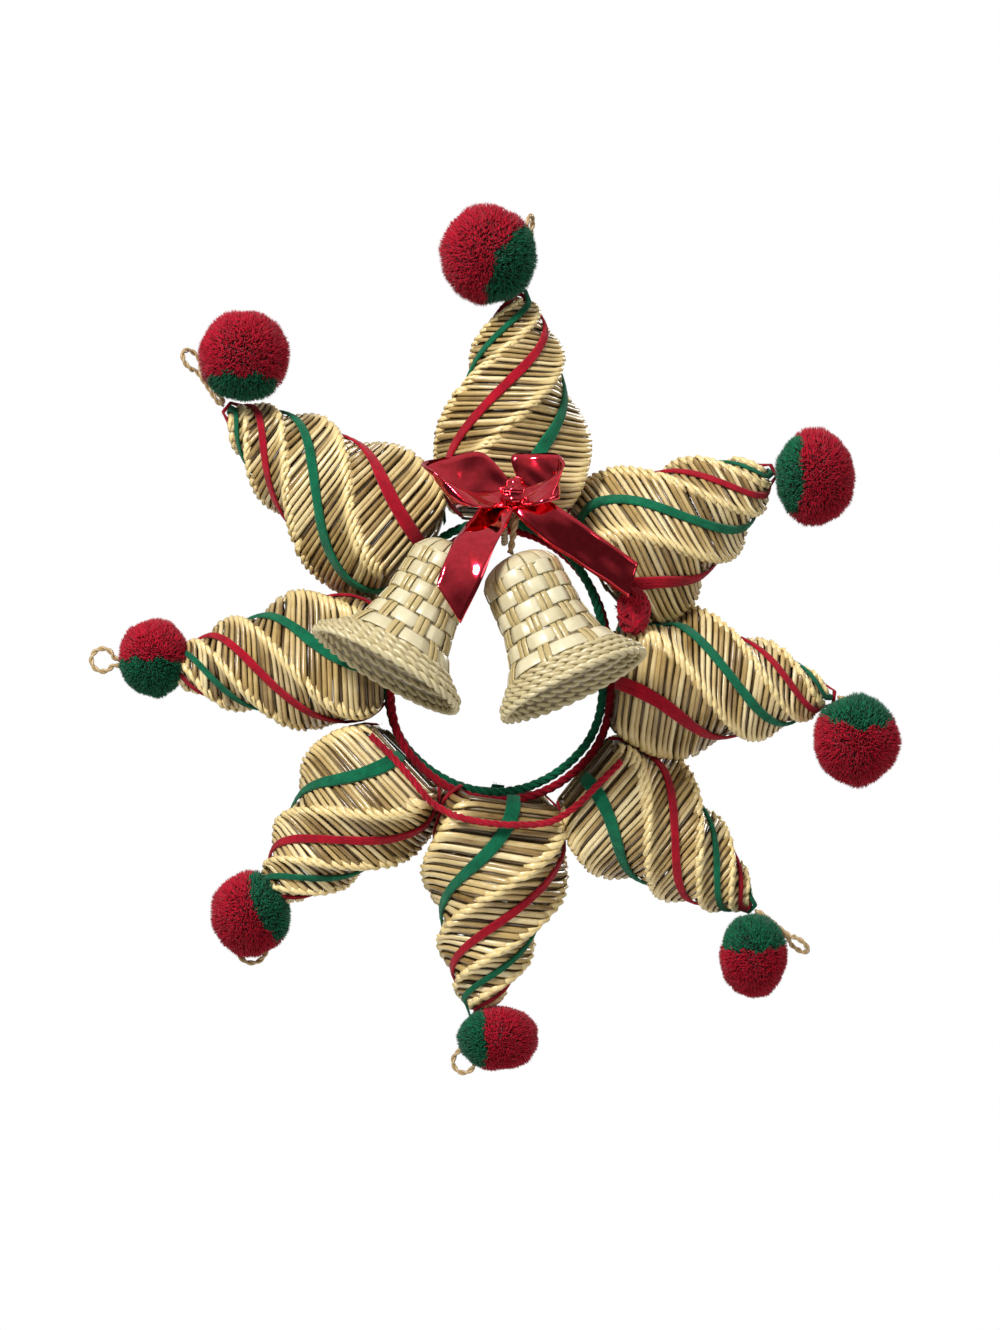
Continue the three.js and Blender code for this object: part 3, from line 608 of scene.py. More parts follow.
def foil_material():
    n = Nodes("red_foil")
    crease = n.noise(n.place(), 420.0, 4.0, 0.6)
    n.set(Base_Color=n.ramp(crease, (0.3, (0.62, 0.004, 0.018)), (0.7, (0.86, 0.02, 0.05))))
    n.set(Metallic=1.0, Roughness=0.1, Coat_Weight=1.0, Coat_Roughness=0.04)
    n.bump(crease, 0.25, 0.12)
    return n.material


def floor_material():
    n = Nodes("pale_floor")
    grain = n.noise(n.place(), 6.0, 2.0, 0.5)
    n.set(Base_Color=n.ramp(grain, (0.3, (0.80, 0.80, 0.79)), (0.7, (0.84, 0.84, 0.83))), Roughness=0.85)
    return n.material


STRAW = straw_material(
    "golden_straw", (0.16, 0.085, 0.022), (0.50, 0.345, 0.125), (0.88, 0.73, 0.41), (0.86, 0.67, 0.31), 0.32)
CORD = straw_material(
    "twisted_straw", (0.22, 0.13, 0.05), (0.46, 0.31, 0.14), (0.66, 0.50, 0.28), (0.60, 0.45, 0.20))
PALM = straw_material(
    "woven_palm", (0.26, 0.18, 0.07), (0.54, 0.46, 0.26), (0.76, 0.69, 0.47), (0.50, 0.37, 0.14), 0.36)
POMPOM = pompom_material()
FOIL = foil_material()
YARN = {
    "red": yarn_material("red_yarn", (0.12, 0.0, 0.006), (0.56, 0.004, 0.022)),
    "green": yarn_material("green_yarn", (0.0, 0.04, 0.018), (0.004, 0.20, 0.09)),
}


def finish_piece(made, node):
    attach(made, "root")
    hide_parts(node)


def straw_skin():
    return Skin(tint=0.5, fold=0.0, deep=0.0, fibre=(0.0, 0.0, 0.0))


def yarn_skin():
    return Skin(tint=0.5, fibre=(0.0, 0.0, 0.0))


# --- Plaited straw ------------------------------------------------------------------------------------

STRAW_HALF_THICK = 0.8
FIRST_TURN = 2.4

# Places along one straw from its own ridge, 0, to the next one, 1, and what the fold over that ridge does there:
# out of the surface (mm), towards the tip (pitches), how much wider, and how much it is a fold.
STATIONS = np.array([-0.045, 0.015, 0.09, 0.22, 0.38, 0.55, 0.72, 0.85, 0.93, 0.985, 1.03, 1.075])
FOLD_OUT = np.array([-1.5, -0.7, 0.0, 0.0, 0.0, 0.0, 0.0, 0.05, 0.35, 0.55, 0.1, -1.3])
FOLD_SLIDE = np.array([0.0, 0.0, 0.0, 0.0, 0.0, 0.0, 0.0, 0.0, -0.1, -0.42, -0.75, -0.95])
FOLD_WIDE = np.array([0.8, 1.0, 1.0, 1.0, 1.0, 1.0, 1.0, 1.0, 1.12, 1.28, 1.15, 0.7])
FOLD_TINT = np.array([0.0, 0.0, 0.0, 0.0, 0.0, 0.0, 0.0, 0.1, 0.55, 1.0, 1.0, 0.8])
FOLD = (STATIONS, FOLD_OUT, FOLD_SLIDE, FOLD_WIDE, FOLD_TINT)

# The turns beneath, which close the gaps, run without folds; plaited_cone darkens them with painted shade.
UNDER = np.array([-0.04, 0.02, 0.35, 0.65, 0.98, 1.04])
PLAIN = (UNDER, 0 * UNDER, 0 * UNDER, 0 * UNDER + 1, 0 * UNDER)


def straws(name, skin, fold, lift, half_wide, half_thick, sides, jitter, deep, phase):
    """One layer of the plait: a straw on each side in each turn."""
    stations, out, slide, wider, tinted = fold
    length = CONES[name]["length"]
    pitch = PITCH.get(name, USUAL_PITCH)
    turns = int((length - FIRST_TURN - 0.4) / pitch)
    turn, side = (grid.ravel() for grid in np.meshgrid(np.arange(turns), np.arange(4), indexing="ij"))
    n = len(turn)
    start = FIRST_TURN + pitch * (turn + side / 4 + phase + jitter * RANDOM.normal(size=n))
    tilt = RANDOM.normal(size=n) * jitter * 1.2 + 0.22
    t = stations[None, :]
    u = np.clip(start[:, None] + pitch * (slide + tilt[:, None] * (t - 0.5)), 0.8, length - 0.2)
    angle = ridge_angle(name, u) + (side[:, None] + t) * QUARTER
    from_ridge = np.minimum(np.abs(t), np.abs(1 - t))
    gap = mix(TOUCH_GAP, STRIP_TOUCH_GAP, smooth(0.05, 0.3, from_ridge))
    inset = lift - STRAW_HALF_THICK
    surface = pressed_reach(name, u, angle, gap) + inset
    centre = cone_point(name, u, angle, surface + out + RANDOM.normal(size=(n, 1)) * jitter * 0.9)
    beside = cone_point(name, u + 0.5, angle, pressed_reach(name, u + 0.5, angle, gap) + inset)
    axial = unit(beside - cone_point(name, u, angle, surface))
    travel = unit(np.gradient(centre, axis=1))
    thick = unit(np.cross(travel, axial))
    thick *= np.sign(np.sum(thick * outward(name, angle), -1, keepdims=True))
    wide = np.cross(thick, travel)
    half_wides = half_wide * pitch * wider * RANDOM.uniform(0.86, 1.06, (n, 1))
    half_thicks = np.broadcast_to(half_thick * RANDOM.uniform(0.9, 1.08, (n, 1)), half_wides.shape)
    run = np.cumsum(np.linalg.norm(np.diff(centre, axis=1, prepend=centre[:, :1]), axis=-1), 1)
    fibre = np.zeros((n, len(stations), sides, 3))
    fibre[..., 0] = np.arange(sides) / sides + RANDOM.uniform(0, 90, (n, 1, 1))
    fibre[..., 1] = run[..., None]
    every = np.ones(half_wides.shape)
    add_sections(skin, centre, wide, thick, half_wides, half_thicks, sides, fibre=fibre,
                 tint=RANDOM.beta(1.2, 1.2, n)[:, None] * every, fold=tinted * every, deep=deep * every)


def plaited_cone(name):
    skin = straw_skin()
    straws(name, skin, FOLD, 0.0, 0.41, STRAW_HALF_THICK, 8, 0.13, 0.0, 0.0)
    # the layer beneath is darkened by 0.75 of painted shade, for the shade in the gaps between the straws above
    straws(name, skin, PLAIN, -1.35, 0.40, 0.6, 5, 0.12, 0.75, 0.5)
    finish_piece(skin.build(f"straw_plait_{name}", STRAW), f"cone_{name}")


for arm in ARMS:
    plaited_cone(arm)

# --- Yarn strips --------------------------------------------------------------------------------------

STRIP_STATIONS = 34
STRIP_CROWDING = 0.7
STRIP_RIBS = 4
STRIP_FUZZ = 520
TIP_SHARE = 0.02


def strip_width(name, u):
    return STRIP_LEAST_WIDTH + STRIP_WIDTH_PER_RADIUS * ridge_radius(name, u)


def strip_run(name, side, u):
    """The two edges and the outward direction of a strip lying on one side of the cone."""
    angle = ridge_angle(name, u) + (side + 0.5) * QUARTER
    half = np.arctan2(strip_width(name, u) / 2, ridge_radius(name, u) * section_reach(QUARTER / 2))
    edges = []
    for a in (angle - half, angle + half):
        edges.append(cone_point(name, u, a, pressed_reach(name, u, a, STRIP_TOUCH_GAP)))
    return edges[0], edges[1], outward(name, angle)


def strip_section():
    """Across the strip from -1 to 1 and its height off the straw: ribbed on top, flat beneath."""
    across = np.linspace(-1, 1, 4 * STRIP_RIBS + 1)
    crown = (1 - np.abs(across) ** 3.2) ** 0.5
    rib = np.abs(np.cos(across * QUARTER * STRIP_RIBS)) * (1 - np.abs(across) ** 4)
    top = STRIP_GAP + STRIP_THICKNESS * (0.35 + 0.75 * crown) - 0.22 * rib
    under = np.full(len(across), STRIP_GAP - 0.15)
    return np.concatenate([across, across[::-1]]), np.concatenate([top, under])


def yarn_strip(name, colour, side, height):
    tip, along, _, _ = FRAMES[name]
    w = np.linspace(1, TIP_SHARE ** STRIP_CROWDING, STRIP_STATIONS) ** (1 / STRIP_CROWDING)
    u = w * CONES[name]["length"]
    up, down = strip_run(name, side, u), strip_run(name, side + 2, u[::-1])
    out = outward(name, ridge_angle(name, u[-1]) + (side + 0.5) * QUARTER)
    across = np.cross(out, along) * strip_width(name, u[-1]) / 2
    half = 0.55 * ridge_radius(name, u[-1])
    over = [tip + along * height + out * distance for distance in (half, -half)]
    left = np.concatenate([up[0], [c + across for c in over], down[1]])
    right = np.concatenate([up[1], [c - across for c in over], down[0]])
    away = unit(np.concatenate([up[2], [along, along], down[2]]))
    middle = (left + right) / 2
    wide, half_wide = unit(right - left), np.linalg.norm(right - left, axis=1) / 2
    run = np.concatenate([[0], np.cumsum(np.linalg.norm(np.diff(middle, axis=0), axis=1))])
    half_wide = half_wide * (1 + 0.05 * np.sin(run / 5.3 + side) + 0.03 * np.sin(run / 1.9))
    skin = yarn_skin()
    n = len(middle)
    x, y = strip_section()
    lift = y[None, :] + RANDOM.normal(size=(n, len(x))) * 0.05
    points = (middle[:, None, :] + wide[:, None, :] * half_wide[:, None, None] * x[None, :, None]
              + away[:, None, :] * lift[:, :, None])
    fibre = np.zeros((n, len(x), 3))
    fibre[..., 0] = x * 1.5
    fibre[..., 1] = run[:, None]
    skin.add(points, swept_faces(1, n, len(x)), fibre=fibre.reshape(-1, 3))
    at = RANDOM.integers(0, n, STRIP_FUZZ)
    x = RANDOM.uniform(-1, 1, STRIP_FUZZ)[:, None]
    shift = direction_along(middle)[at] * RANDOM.uniform(-0.5, 0.5, (STRIP_FUZZ, 1)) * run[-1] / n
    roots = middle[at] + wide[at] * half_wide[at][:, None] * x * 0.96 + away[at] * (STRIP_GAP + 0.5) + shift
    add_fuzz(skin, roots, away[at] * 0.5 + wide[at] * x * np.abs(x) * 1.2, 1.3, 0.09, 0.8, tint=0.9)
    finish_piece(skin.build(f"yarn_strip_{colour}_{name}", YARN[colour]), f"yarn_{colour}_{name}")


for arm in ARMS:
    front = CONES[arm]["front"]
    yarn_strip(arm, front, 0, 0.0)
    yarn_strip(arm, "green" if front == "red" else "red", 1, STRIP_THICKNESS + STRIP_GAP)

# --- Straw loops --------------------------------------------------------------------------------------


def straw_loop(name):
    heading, reach, eye_radius, turn = LOOPS[name]
    heading, turn = math.radians(heading), math.radians(turn)
    along = np.array([math.cos(heading), 0, math.sin(heading)])
    wide = np.array([math.sin(heading), 0, -math.cos(heading)]) * math.cos(turn) + np.array([0, math.sin(turn), 0])
    tip, cone_along, _, _ = FRAMES[name]
    root = tip + cone_along * (LOOP_STAND_OFF - LOOP_NECK_RADIUS)
    eye = reach - LOOP_STAND_OFF - LOOP_CORD_RADIUS - eye_radius
    opening = math.asin(LOOP_NECK_RADIUS / eye_radius)
    places = []
    for angle in np.linspace(-QUARTER, QUARTER, 5):
        places.append((LOOP_NECK_RADIUS * (1 - math.cos(angle)), LOOP_NECK_RADIUS * math.sin(angle)))
    for angle in np.linspace(math.pi - opening, opening - math.pi, 17):
        places.append((eye + eye_radius * math.cos(angle), eye_radius * math.sin(angle)))
    line, length = smooth_line([root + along * f + wide * a for f, a in places], 130, closed=True)
    skin = straw_skin()
    add_rope(skin, line, length, LOOP_CORD_RADIUS, 2, 7.5, 7, True, 1.12, tint=0.45)
    node = "hanging_loop" if name == "top" else f"loop_{name}"
    finish_piece(skin.build(f"twisted_loop_{name}", CORD), node)


for arm in ARMS:
    straw_loop(arm)

# --- Pompoms ------------------------------------------------------------------------------------------

FIBRES = 9000
CORE_SHARE = 0.86


def ball_lump(d, seed):
    return (1 + 0.035 * np.sin(5 * d[:, 0] + 3 * d[:, 2] + seed) * np.cos(4 * d[:, 1] + d[:, 0])
            + 0.02 * np.sin(11 * d[:, 0] + seed) * np.sin(9 * d[:, 2] + 2 * seed))


def is_green(name, d):
    way, start = POMPOM_GREEN[name]
    edge = 0.07 * np.sin(9 * d[:, 0] + 4 * d[:, 2]) * np.cos(7 * d[:, 1])
    return (d @ unit(way) + edge > start).astype(float)


def pompom(name, seed):
    at, (across, up) = POMPOMS[name]
    centre = RING_CENTRE + np.array(at)
    half = np.array([across, (across + up) / 2, up])
    skin = Skin(tint=0.5, fold=1.0, green=0.0)
    heart = ball_grid(17, 28)
    # the core: fully darkened by painted shade and given a low tint of darker red, for the shade among the fibres
    skin.add(centre + heart * half * CORE_SHARE * ball_lump(heart, seed)[:, None], swept_faces(1, 17, 28),
             fold=0.0, tint=0.2, green=is_green(name, heart))
    d = even_directions(FIBRES)
    clump = unit(d + 0.05 * RANDOM.normal(size=d.shape))
    root = centre + d * half * (CORE_SHARE - 0.03)
    top = centre + clump * half * (ball_lump(d, seed) * RANDOM.uniform(0.955, 1.01, FIBRES))[:, None]
    side = unit(np.cross(d, RANDOM.normal(size=d.shape)))
    over = np.cross(d, side)
    width = RANDOM.uniform(0.42, 0.6, (FIBRES, 1))
    points = np.empty((FIBRES, 4, 3))
    for k in range(3):
        a = 2 * math.pi * k / 3
        points[:, k] = root + (side * math.cos(a) + over * math.sin(a)) * width
    points[:, 3] = top
    first = np.arange(FIBRES)[:, None] * 4
    faces = np.concatenate([first + np.array(f) for f in ((0, 1, 3), (1, 2, 3), (2, 0, 3), (2, 1, 0))])
    # painted shade: each fibre is darker at its root than at its tip
    skin.add(points, [faces], tint=np.repeat(RANDOM.beta(2, 2, FIBRES), 4),
             fold=np.tile([0.35, 0.35, 0.35, 1.0], FIBRES), green=np.repeat(is_green(name, d), 4))
    finish_piece(skin.build(f"yarn_pompom_{name}", POMPOM), f"pompom_{name}")


for index, arm in enumerate(ARMS):
    pompom(arm, 1.7 * index)

# --- Tie cords round the ring -------------------------------------------------------------------------

RED_PHASE = math.radians(270 - RED_IN_FRONT_AT)


def fuzzy_cord(name, colour, node, line, length, radius, closed, fuzz):
    skin = yarn_skin()
    add_rope(skin, line, length, radius, 3, 11.0, 7, closed, 1.1)
    travel, across, other = line_frames(line, closed)
    at = RANDOM.integers(0, len(line), fuzz)
    angle = RANDOM.uniform(0, 2 * math.pi, (fuzz, 1))
    out = across[at] * np.cos(angle) + other[at] * np.sin(angle)
    roots = line[at] + out * radius * 0.85 + travel[at] * RANDOM.uniform(-1, 1, (fuzz, 1))
    add_fuzz(skin, roots, out, 1.1, 0.08, 0.7, tint=0.9)
    finish_piece(skin.build(name, YARN[colour]), node)


def ring_cord(colour, phase):
    angle = np.linspace(0, 2 * math.pi, 240, endpoint=False)
    cosine, sine = np.cos(angle), np.sin(angle)
    away = unit(np.stack([cosine / RING_HALF_WIDTH, 0 * angle, sine / RING_HALF_HEIGHT], 1))
    lift = TIE_CORD_SWAY * np.sin(angle + phase)
    line = RING_CENTRE + np.stack([RING_HALF_WIDTH * cosine, lift, RING_HALF_HEIGHT * sine], 1)
    drop = RING_DROP_BELOW * smooth(0.0, 0.7, -sine)
    line = line + away * (drop + TIE_CORD_SWAY * np.cos(angle + phase))[:, None]
    length = np.sum(np.linalg.norm(np.roll(line, -1, 0) - line, axis=1))
    fuzzy_cord(f"ring_yarn_{colour}", colour, f"tie_cord_{colour}", line, length, TIE_CORD_RADIUS, True, 1200)


ring_cord("red", RED_PHASE)
ring_cord("green", RED_PHASE + math.pi)

# --- Neck tie and knot --------------------------------------------------------------------------------

NECK_LINE = [
    (-52.9, -34), (-43.3, -43.3), (-34.9, -52.9), (-26.5, -62.6), (-16, -67.6), (-4.6, -70.1),
    (9.2, -71), (22.4, -69.6), (32.3, -63.4), (42, -53.8), (51.2, -44.5),
]
NECK_STEPS = 20


def front_of_cones(x, z):
    y = np.arange(-45, 0, 0.25)
    points = RING_CENTRE + np.stack([np.full(len(y), x), y, np.full(len(y), z)], 1)
    inside = np.any([share(name, points) < 1 for name in ARMS], axis=0)
    return y[np.argmax(inside)] if inside.any() else 0.0


def neck_tie():
    line, _ = smooth_line([(x, 0, z) for x, z in NECK_LINE], NECK_STEPS)
    stand = NECK_TIE_RADIUS + STRIP_GAP + STRIP_THICKNESS + NECK_TIE_CLEARANCE
    depth = np.array([front_of_cones(x, z) - stand for x, _, z in line])
    taut = depth.copy()
    taut[1:-1] = np.minimum(depth[1:-1], (depth[:-2] + depth[2:]) / 2)
    taut[0], taut[-1] = min(depth[0], depth[1] + 3), min(depth[-1], depth[-2] + 3)
    points = RING_CENTRE + np.stack([line[:, 0], taut, line[:, 2]], 1)
    path, length = smooth_line(points, 160)
    fuzzy_cord("neck_tie_yarn", "red", "neck_tie", path, length, NECK_TIE_RADIUS, False, 420)


neck_tie()

KNOT_CENTRE = (56.3, -28, 17.6)
KNOT_HALF_SIZE = (7.2, 5, 10.5)
KNOT_TURNS = 9


def tie_knot():
    """A hard lump of yarn: turns wound round each other in several directions."""
    centre, half = RING_CENTRE + np.array(KNOT_CENTRE), np.array(KNOT_HALF_SIZE)
    skin = yarn_skin()
    # the core beneath the turns takes the lowest tint, darker yarn, as painted shade between the turns
    skin.add(centre + ball_grid(13, 22) * half * 0.78, swept_faces(1, 13, 22), tint=0.0)
    angle = np.linspace(0, 2 * math.pi, 60, endpoint=False)[:, None]
    for _ in range(KNOT_TURNS):
        normal = unit(RANDOM.normal(size=3) * (1, 0.6, 1))
        a = unit(np.cross(normal, (0.3, 1.0, 0.2)))
        b = np.cross(normal, a)
        offset = RANDOM.uniform(-0.4, 0.4)
        ring = (a * np.cos(angle) + b * np.sin(angle)) * math.sqrt(1 - offset ** 2) + normal * offset
        line = centre + ring * half * 0.86
        length = np.sum(np.linalg.norm(np.roll(line, -1, 0) - line, axis=1))
        add_rope(skin, line, length, 1.25, 3, 9.0, 6, True, 1.1, tint=RANDOM.uniform(0.1, 0.6))
    d = even_directions(900)
    add_fuzz(skin, centre + d * half * 0.93, d, 1.2, 0.08, 0.7, tint=0.6)
    finish_piece(skin.build("ring_knot_yarn", YARN["red"]), "tie_knot")


tie_knot()

# --- Bells --------------------------------------------------------------------------------------------

BELL_VERTICALS = 14
BELL_ROWS = 6
BELL_BODY_TOP = 8.0
BELL_BODY_END = 50.0
ROW_HEIGHT = (BELL_BODY_END - BELL_BODY_TOP) / BELL_ROWS
WEAVE_LIFT = 0.62


def bell_frame(bell):
    swing, tilt = math.radians(bell["swing"]), math.radians(BELL_FORWARD_TILT)
    axis = np.array([math.sin(swing) * math.cos(tilt), -math.sin(tilt), -math.cos(swing) * math.cos(tilt)])
    crown = RING_CENTRE + np.array(bell["mouth"]) - axis * BELL_HEIGHT
    across = unit(np.cross(axis, (0.0, 1.0, 0.0)))
    return crown, axis, across, np.cross(axis, across)


def bell_radius(bell, down):
    s, lip = bell["shoulder"], bell["lip"]
    marks = [(0, 0.3), (1.0, 6.5), (2.2, 10.4), (4.5, s - 2.6), (8.5, s), (16, s + 0.3), (31, s + 1), (41, s + 3.6),
             (50.5, s + 9), (57, lip - 1.2), (BELL_HEIGHT, lip)]
    return np.interp(down, *zip(*marks))


def bell_point(bell, down, angle, radius):
    crown, axis, across, other = bell_frame(bell)
    down, angle, radius = (v[..., None] for v in np.broadcast_arrays(down, angle, radius))
    return crown + axis * down + (across * np.cos(angle) + other * np.sin(angle)) * radius


def palm_strip(skin, bell, down, angle, lift, half_wide, closed, tint, seed, fold=0.0):
    """A flat strip of palm along given places on the bell, round it where closed and down it otherwise."""
    radius = np.maximum(bell_radius(bell, down) + lift, 0.3)
    centre = bell_point(bell, down, angle, radius)
    _, axis, across, other = bell_frame(bell)
    travel = direction_along(centre, closed)
    out = across * np.cos(angle)[:, None] + other * np.sin(angle)[:, None]
    if closed:
        flare = bell_radius(bell, down + 1) - bell_radius(bell, down)
        wide = unit(axis + out * flare[:, None])
    else:
        wide = unit(np.cross(travel, out))
    thick = unit(np.cross(travel, wide))
    run = np.concatenate([[0], np.cumsum(np.linalg.norm(np.diff(centre, axis=0), axis=1))])
    n, sides = len(centre), 8
    fibre = np.zeros((1, n, sides, 3))
    fibre[..., 0] = np.cos(2 * math.pi * np.arange(sides) / sides) * 1.3 + seed
    fibre[..., 1] = run[None, :, None]
    half = np.broadcast_to(half_wide, (1, n))
    add_sections(skin, centre[None], wide[None], thick[None], half, np.full((1, n), 0.3), sides, closed, 0.55,
                 fibre=fibre, tint=tint, fold=fold)


def bell_lining(skin, bell):
    """The inside of the wall, ribbed by the strands of the plait, joined to its back at the rim, and darkened as
    painted shade.
    """
    down = np.concatenate([np.linspace(3.4, 10, 6), np.linspace(11, BELL_HEIGHT - 1.5, 46)])
    columns = 56
    d, a = np.meshgrid(down, 2 * math.pi * np.arange(columns) / columns, indexing="ij")
    rib = 0.22 * np.cos(2 * math.pi * d / 2.7)
    inside = bell_point(bell, d, a, np.maximum(bell_radius(bell, d) - 1.75 + rib, 0.4))
    outside = bell_point(bell, d, a, np.maximum(bell_radius(bell, d) - 1.35, 0.7))
    shell = np.concatenate([inside, outside[::-1]])
    fibre = np.zeros(shell.shape)
    fibre[..., 0] = np.concatenate([d, d[::-1]]) * 0.35
    fibre[..., 1] = np.concatenate([a, a[::-1]]) * 18
    # painted shade: the lining is darkened by 0.62 and given a lower tint, for the shade inside the bell
    skin.add(shell, swept_faces(1, len(shell), columns, True), deep=0.62, tint=0.35, fibre=fibre.reshape(-1, 3))


def woven_bell(side):
    bell = BELLS[side]
    skin = straw_skin()
    angle = np.linspace(0, 2 * math.pi, 14 * BELL_VERTICALS, endpoint=False)
    for row in range(BELL_ROWS):
        down = BELL_BODY_TOP + ROW_HEIGHT * (row + 0.5) + 0.25 * np.sin(angle * 3 + row)
        over = np.clip(1.7 * np.cos(BELL_VERTICALS * angle / 2 + math.pi * row), -1, 1)
        palm_strip(skin, bell, down, angle, WEAVE_LIFT * over - 1.0, ROW_HEIGHT * 0.47, True,
                   RANDOM.uniform(0.55, 1.0), 7.0 * row)
    # narrow paired strips down the bell and over its crown
    down = np.concatenate([np.linspace(0.2, 7, 9), np.linspace(8, BELL_BODY_END + 2, 54)])
    in_weave = (down > BELL_BODY_TOP) & (down < BELL_BODY_END)
    base = bell_radius(bell, down)
    apart = np.minimum(1.45, base * 0.4 * 2 * math.pi / BELL_VERTICALS) / np.maximum(base, 2.0)
    for j in range(BELL_VERTICALS):
        over = -np.cos(math.pi * (j + (down - BELL_BODY_TOP) / ROW_HEIGHT - 0.5)) * in_weave
        lift = WEAVE_LIFT * np.clip(1.7 * over, -1, 1) - 1.0
        for k in (-1, 1):
            palm_strip(skin, bell, down, 2 * math.pi * j / BELL_VERTICALS + k * apart, lift,
                       np.minimum(1.25, base * 0.2 + 0.2), False, RANDOM.uniform(0.1, 0.6), 31.0 * j + k, 0.75)
    # the crown's flat leaves between them
    down = np.concatenate([np.linspace(0.3, 2.0, 4), np.linspace(2.8, 9.5, 7)])
    for j in range(BELL_VERTICALS):
        palm_strip(skin, bell, down, np.full(len(down), 2 * math.pi * (j + 0.5) / BELL_VERTICALS),
                   np.full(len(down), -0.75), bell_radius(bell, down) * math.pi / BELL_VERTICALS * 0.9, False,
                   RANDOM.uniform(0.5, 1.0), 11.0 * j)
    # the braided rim
    turn = np.linspace(0, 2 * math.pi, 200, endpoint=False)
    for k, down_at in enumerate((51.4, 54.2, 57.0, 59.7)):
        radius = bell_radius(bell, down_at) - 1.2
        ring = bell_point(bell, down_at + 0 * turn, turn, radius + 0 * turn)
        add_rope(skin, ring, 2 * math.pi * radius, 1.62, 2, 11.0, 6, True, 1.25, tint=0.5 + 0.15 * (k % 2), fold=0.25)
    bell_lining(skin, bell)
    finish_piece(skin.build(f"woven_bell_{side}", PALM), f"bell_{side}")


for bell_side in BELLS:
    woven_bell(bell_side)

BELL_CORD_ROUTE = [
    (-3, -40, 57.5), (2.5, -36.5, 61.5), (2.6, -23, 53.5), (2.8, -9, 48.5), (2.8, 0, 46.8), (3.4, 7.4, 53),
    (4.6, 0, 60.4), (6, -7.8, 54.5), (7, -22, 53.5), (8.2, -36.5, 60.5), (6.8, -42, 52),
]


def bell_cord():
    ends = []
    for side in BELLS:
        crown, axis, _, _ = bell_frame(BELLS[side])
        ends.append(crown - axis * BELL_CORD_RADIUS)
    route = [ends[0], *(RING_CENTRE + np.array(p) for p in BELL_CORD_ROUTE), ends[1]]
    line, length = smooth_line(route, 260)
    skin = straw_skin()
    add_rope(skin, line, length, BELL_CORD_RADIUS, 2, 8.0, 8, False, 1.15)
    finish_piece(skin.build("bell_cord_straw", CORD), "bell_cord")


bell_cord()

# --- Bow ----------------------------------------------------------------------------------------------

FOIL_HALF_THICK = 0.3

# Stations of the ribbon as pairs of edge points, each (x, y, z) from the ring's centre.
BOW_RIBBONS = [
    [((6, -36.4, 70.4), (6, -37.2, 61.3)), ((-6.7, -36, 83.2), (-4.2, -38, 65.5)),
     ((-20.2, -38, 81.1), (-13, -40, 61.5)), ((-31.5, -43, 78.5), (-17.2, -46, 59.6)),
     ((-26, -51, 74.8), (-14.3, -55, 60.5)), ((-11, -45, 66.5), (-7.6, -57, 60)),
     ((7.4, -38.3, 68.4), (7.2, -40.2, 60.2))],
    [((8.3, -37.3, 70.8), (8.1, -36.6, 61.9)), ((5.9, -36, 81.9), (13.4, -38, 66.2)),
     ((15.5, -37, 82.7), (19.7, -40, 64.7)), ((24.5, -41, 82.4), (25.2, -45, 64.3)),
     ((27.2, -48, 76.8), (24.6, -52, 63.4)), ((17.6, -46, 70.1), (16.8, -54, 61.3)),
     ((6.4, -39.6, 67.7), (6.6, -41.3, 59.9))],
    [((3, -38.7, 69.1), (11.3, -39.3, 62.2)), ((-5, -43, 63), (6.7, -45, 58.8)),
     ((-10.9, -51, 55.4), (4.2, -54, 52.9)), ((-17.6, -62, 46.6), (0.8, -63, 47.9)),
     ((-21.4, -68, 38.2), (-2.9, -68, 39.5)), ((-24.4, -70, 30.5), (-6.3, -70, 30.3)),
     ((-24.8, -71, 27.7), (-15.1, -71, 12.2))],
    [((9.6, -40.4, 68.6), (4.7, -40.1, 60.9)), ((18, -43, 65), (10.4, -44, 54)),
     ((31.1, -45, 56.3), (20.7, -45, 45.2)), ((42.8, -44, 47.9), (32.1, -44, 37.6)),
     ((58, -42, 37.4), (53.8, -42, 23.1))],
]
BOW_KNOT_CENTRE = (7.1, -39.5, 65.4)
BOW_KNOT_HALF_SIZE = (6.4, 4.6, 7.2)


def foil_ribbon(skin, pairs):
    steps = 14 * (len(pairs) - 1)
    left, right = (smooth_line(RING_CENTRE + np.array([pair[k] for pair in pairs]), steps)[0] for k in (0, 1))
    across = np.linspace(0, 1, 9)
    sheet = mix(left[:, None], right[:, None], across[None, :, None])
    travel = direction_along((left + right) / 2)
    away = unit(np.cross(travel, right - left))
    s, c = np.meshgrid(np.arange(len(left)) / 14, across, indexing="ij")
    wave = 0.35 * np.sin(2.1 * s + 5 * c) * np.sin(math.pi * c) + 0.16 * np.sin(5.3 * s - 9 * c)
    sheet = sheet + away[:, None] * wave[..., None]
    half = away[:, None] * FOIL_HALF_THICK
    skin.add(np.concatenate([sheet + half, (sheet - half)[:, ::-1]], 1), swept_faces(1, len(left), 2 * len(across)))


def bow():
    skin = Skin(tint=0.5)
    for pairs in BOW_RIBBONS:
        foil_ribbon(skin, pairs)
    d = ball_grid(15, 36)
    pleat = 1 + 0.07 * np.cos(7 * np.arctan2(d[:, 1], d[:, 0])) * (1 - d[:, 2] ** 2)
    ends = 1 - 0.16 * np.cos(3 * d[:, 2] * math.pi)
    size = np.array(BOW_KNOT_HALF_SIZE) * (pleat * ends)[:, None] * 0.92
    skin.add(RING_CENTRE + np.array(BOW_KNOT_CENTRE) + d * size, swept_faces(1, 15, 36))
    finish_piece(skin.build("foil_bow", FOIL), "bow")


bow()

# --- Stage and light ----------------------------------------------------------------------------------

FLOOR_LEVEL = -1.25
FLOOR_RADIUS = 2.4
FLOOR_SIDES = 96


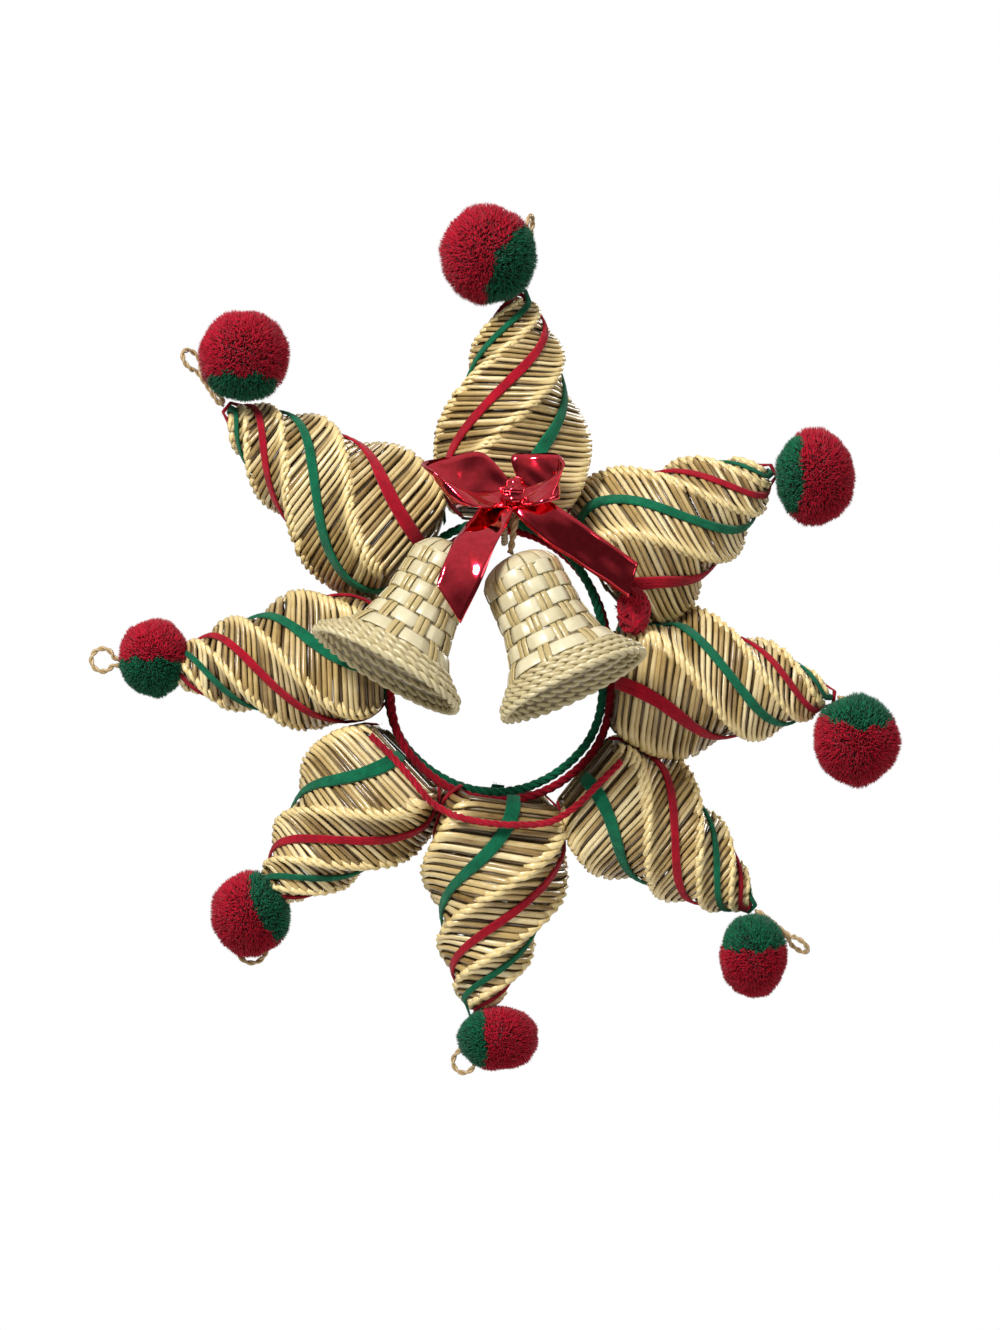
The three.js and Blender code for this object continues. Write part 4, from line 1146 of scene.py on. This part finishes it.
def add_floor():
    shape = bmesh.new()
    bmesh.ops.create_circle(shape, cap_ends=True, segments=FLOOR_SIDES, radius=FLOOR_RADIUS)
    mesh = bpy.data.meshes.new("floor")
    shape.to_mesh(mesh)
    shape.free()
    mesh.materials.append(floor_material())
    floor = bpy.data.objects.new("floor", mesh)
    floor.location = (0, 0, FLOOR_LEVEL)
    bpy.context.scene.collection.objects.link(floor)


def add_light(name, place, size, watts):
    data = bpy.data.lights.new(name, "AREA")
    data.shape = "DISK"
    data.size = size
    data.energy = watts
    light = bpy.data.objects.new(name, data)
    light.location = place
    aim = np.array(VIEW_CENTRE) * MM - np.array(place)
    light.rotation_euler = bpy_direction(aim)
    bpy.context.scene.collection.objects.link(light)


def bpy_direction(aim):
    x, y, z = aim
    return (math.atan2(math.hypot(x, y), -z), 0, math.atan2(y, x) - QUARTER)


# How bright the studio is at its horizon and overhead, by the height of the direction.
SKY_STOPS = ((0.0, 0.16), (0.75, 1.0))


def add_world(strength):
    """White behind the object, and a softer light on it."""
    world = bpy.data.worlds.new("studio")
    world.use_nodes = True
    tree = world.node_tree
    tree.nodes.clear()
    path = tree.nodes.new("ShaderNodeLightPath")
    seen, lit = tree.nodes.new("ShaderNodeBackground"), tree.nodes.new("ShaderNodeBackground")
    both, out = tree.nodes.new("ShaderNodeMixShader"), tree.nodes.new("ShaderNodeOutputWorld")
    seen.inputs["Color"].default_value = (1, 1, 1, 1)
    place, parts = tree.nodes.new("ShaderNodeTexCoord"), tree.nodes.new("ShaderNodeSeparateXYZ")
    sky = tree.nodes.new("ShaderNodeValToRGB")
    for element, (position, level) in zip(sky.color_ramp.elements, SKY_STOPS):
        element.position = position
        element.color = (level, level, level, 1)
    tree.links.new(place.outputs["Generated"], parts.inputs[0])
    tree.links.new(parts.outputs["Z"], sky.inputs[0])
    tree.links.new(sky.outputs[0], lit.inputs["Color"])
    lit.inputs["Strength"].default_value = strength
    tree.links.new(path.outputs["Is Camera Ray"], both.inputs[0])
    tree.links.new(lit.outputs[0], both.inputs[1])
    tree.links.new(seen.outputs[0], both.inputs[2])
    tree.links.new(both.outputs[0], out.inputs["Surface"])
    bpy.context.scene.world = world


add_floor()
add_world(0.55)
add_light("key", (-1.0, -1.7, 1.1), 0.6, 60)
add_light("fill", (1.5, -1.4, 0.3), 1.0, 8)
add_light("back", (1.3, 1.9, 0.7), 1.2, 26)
bpy.context.scene.view_settings.view_transform = "Standard"
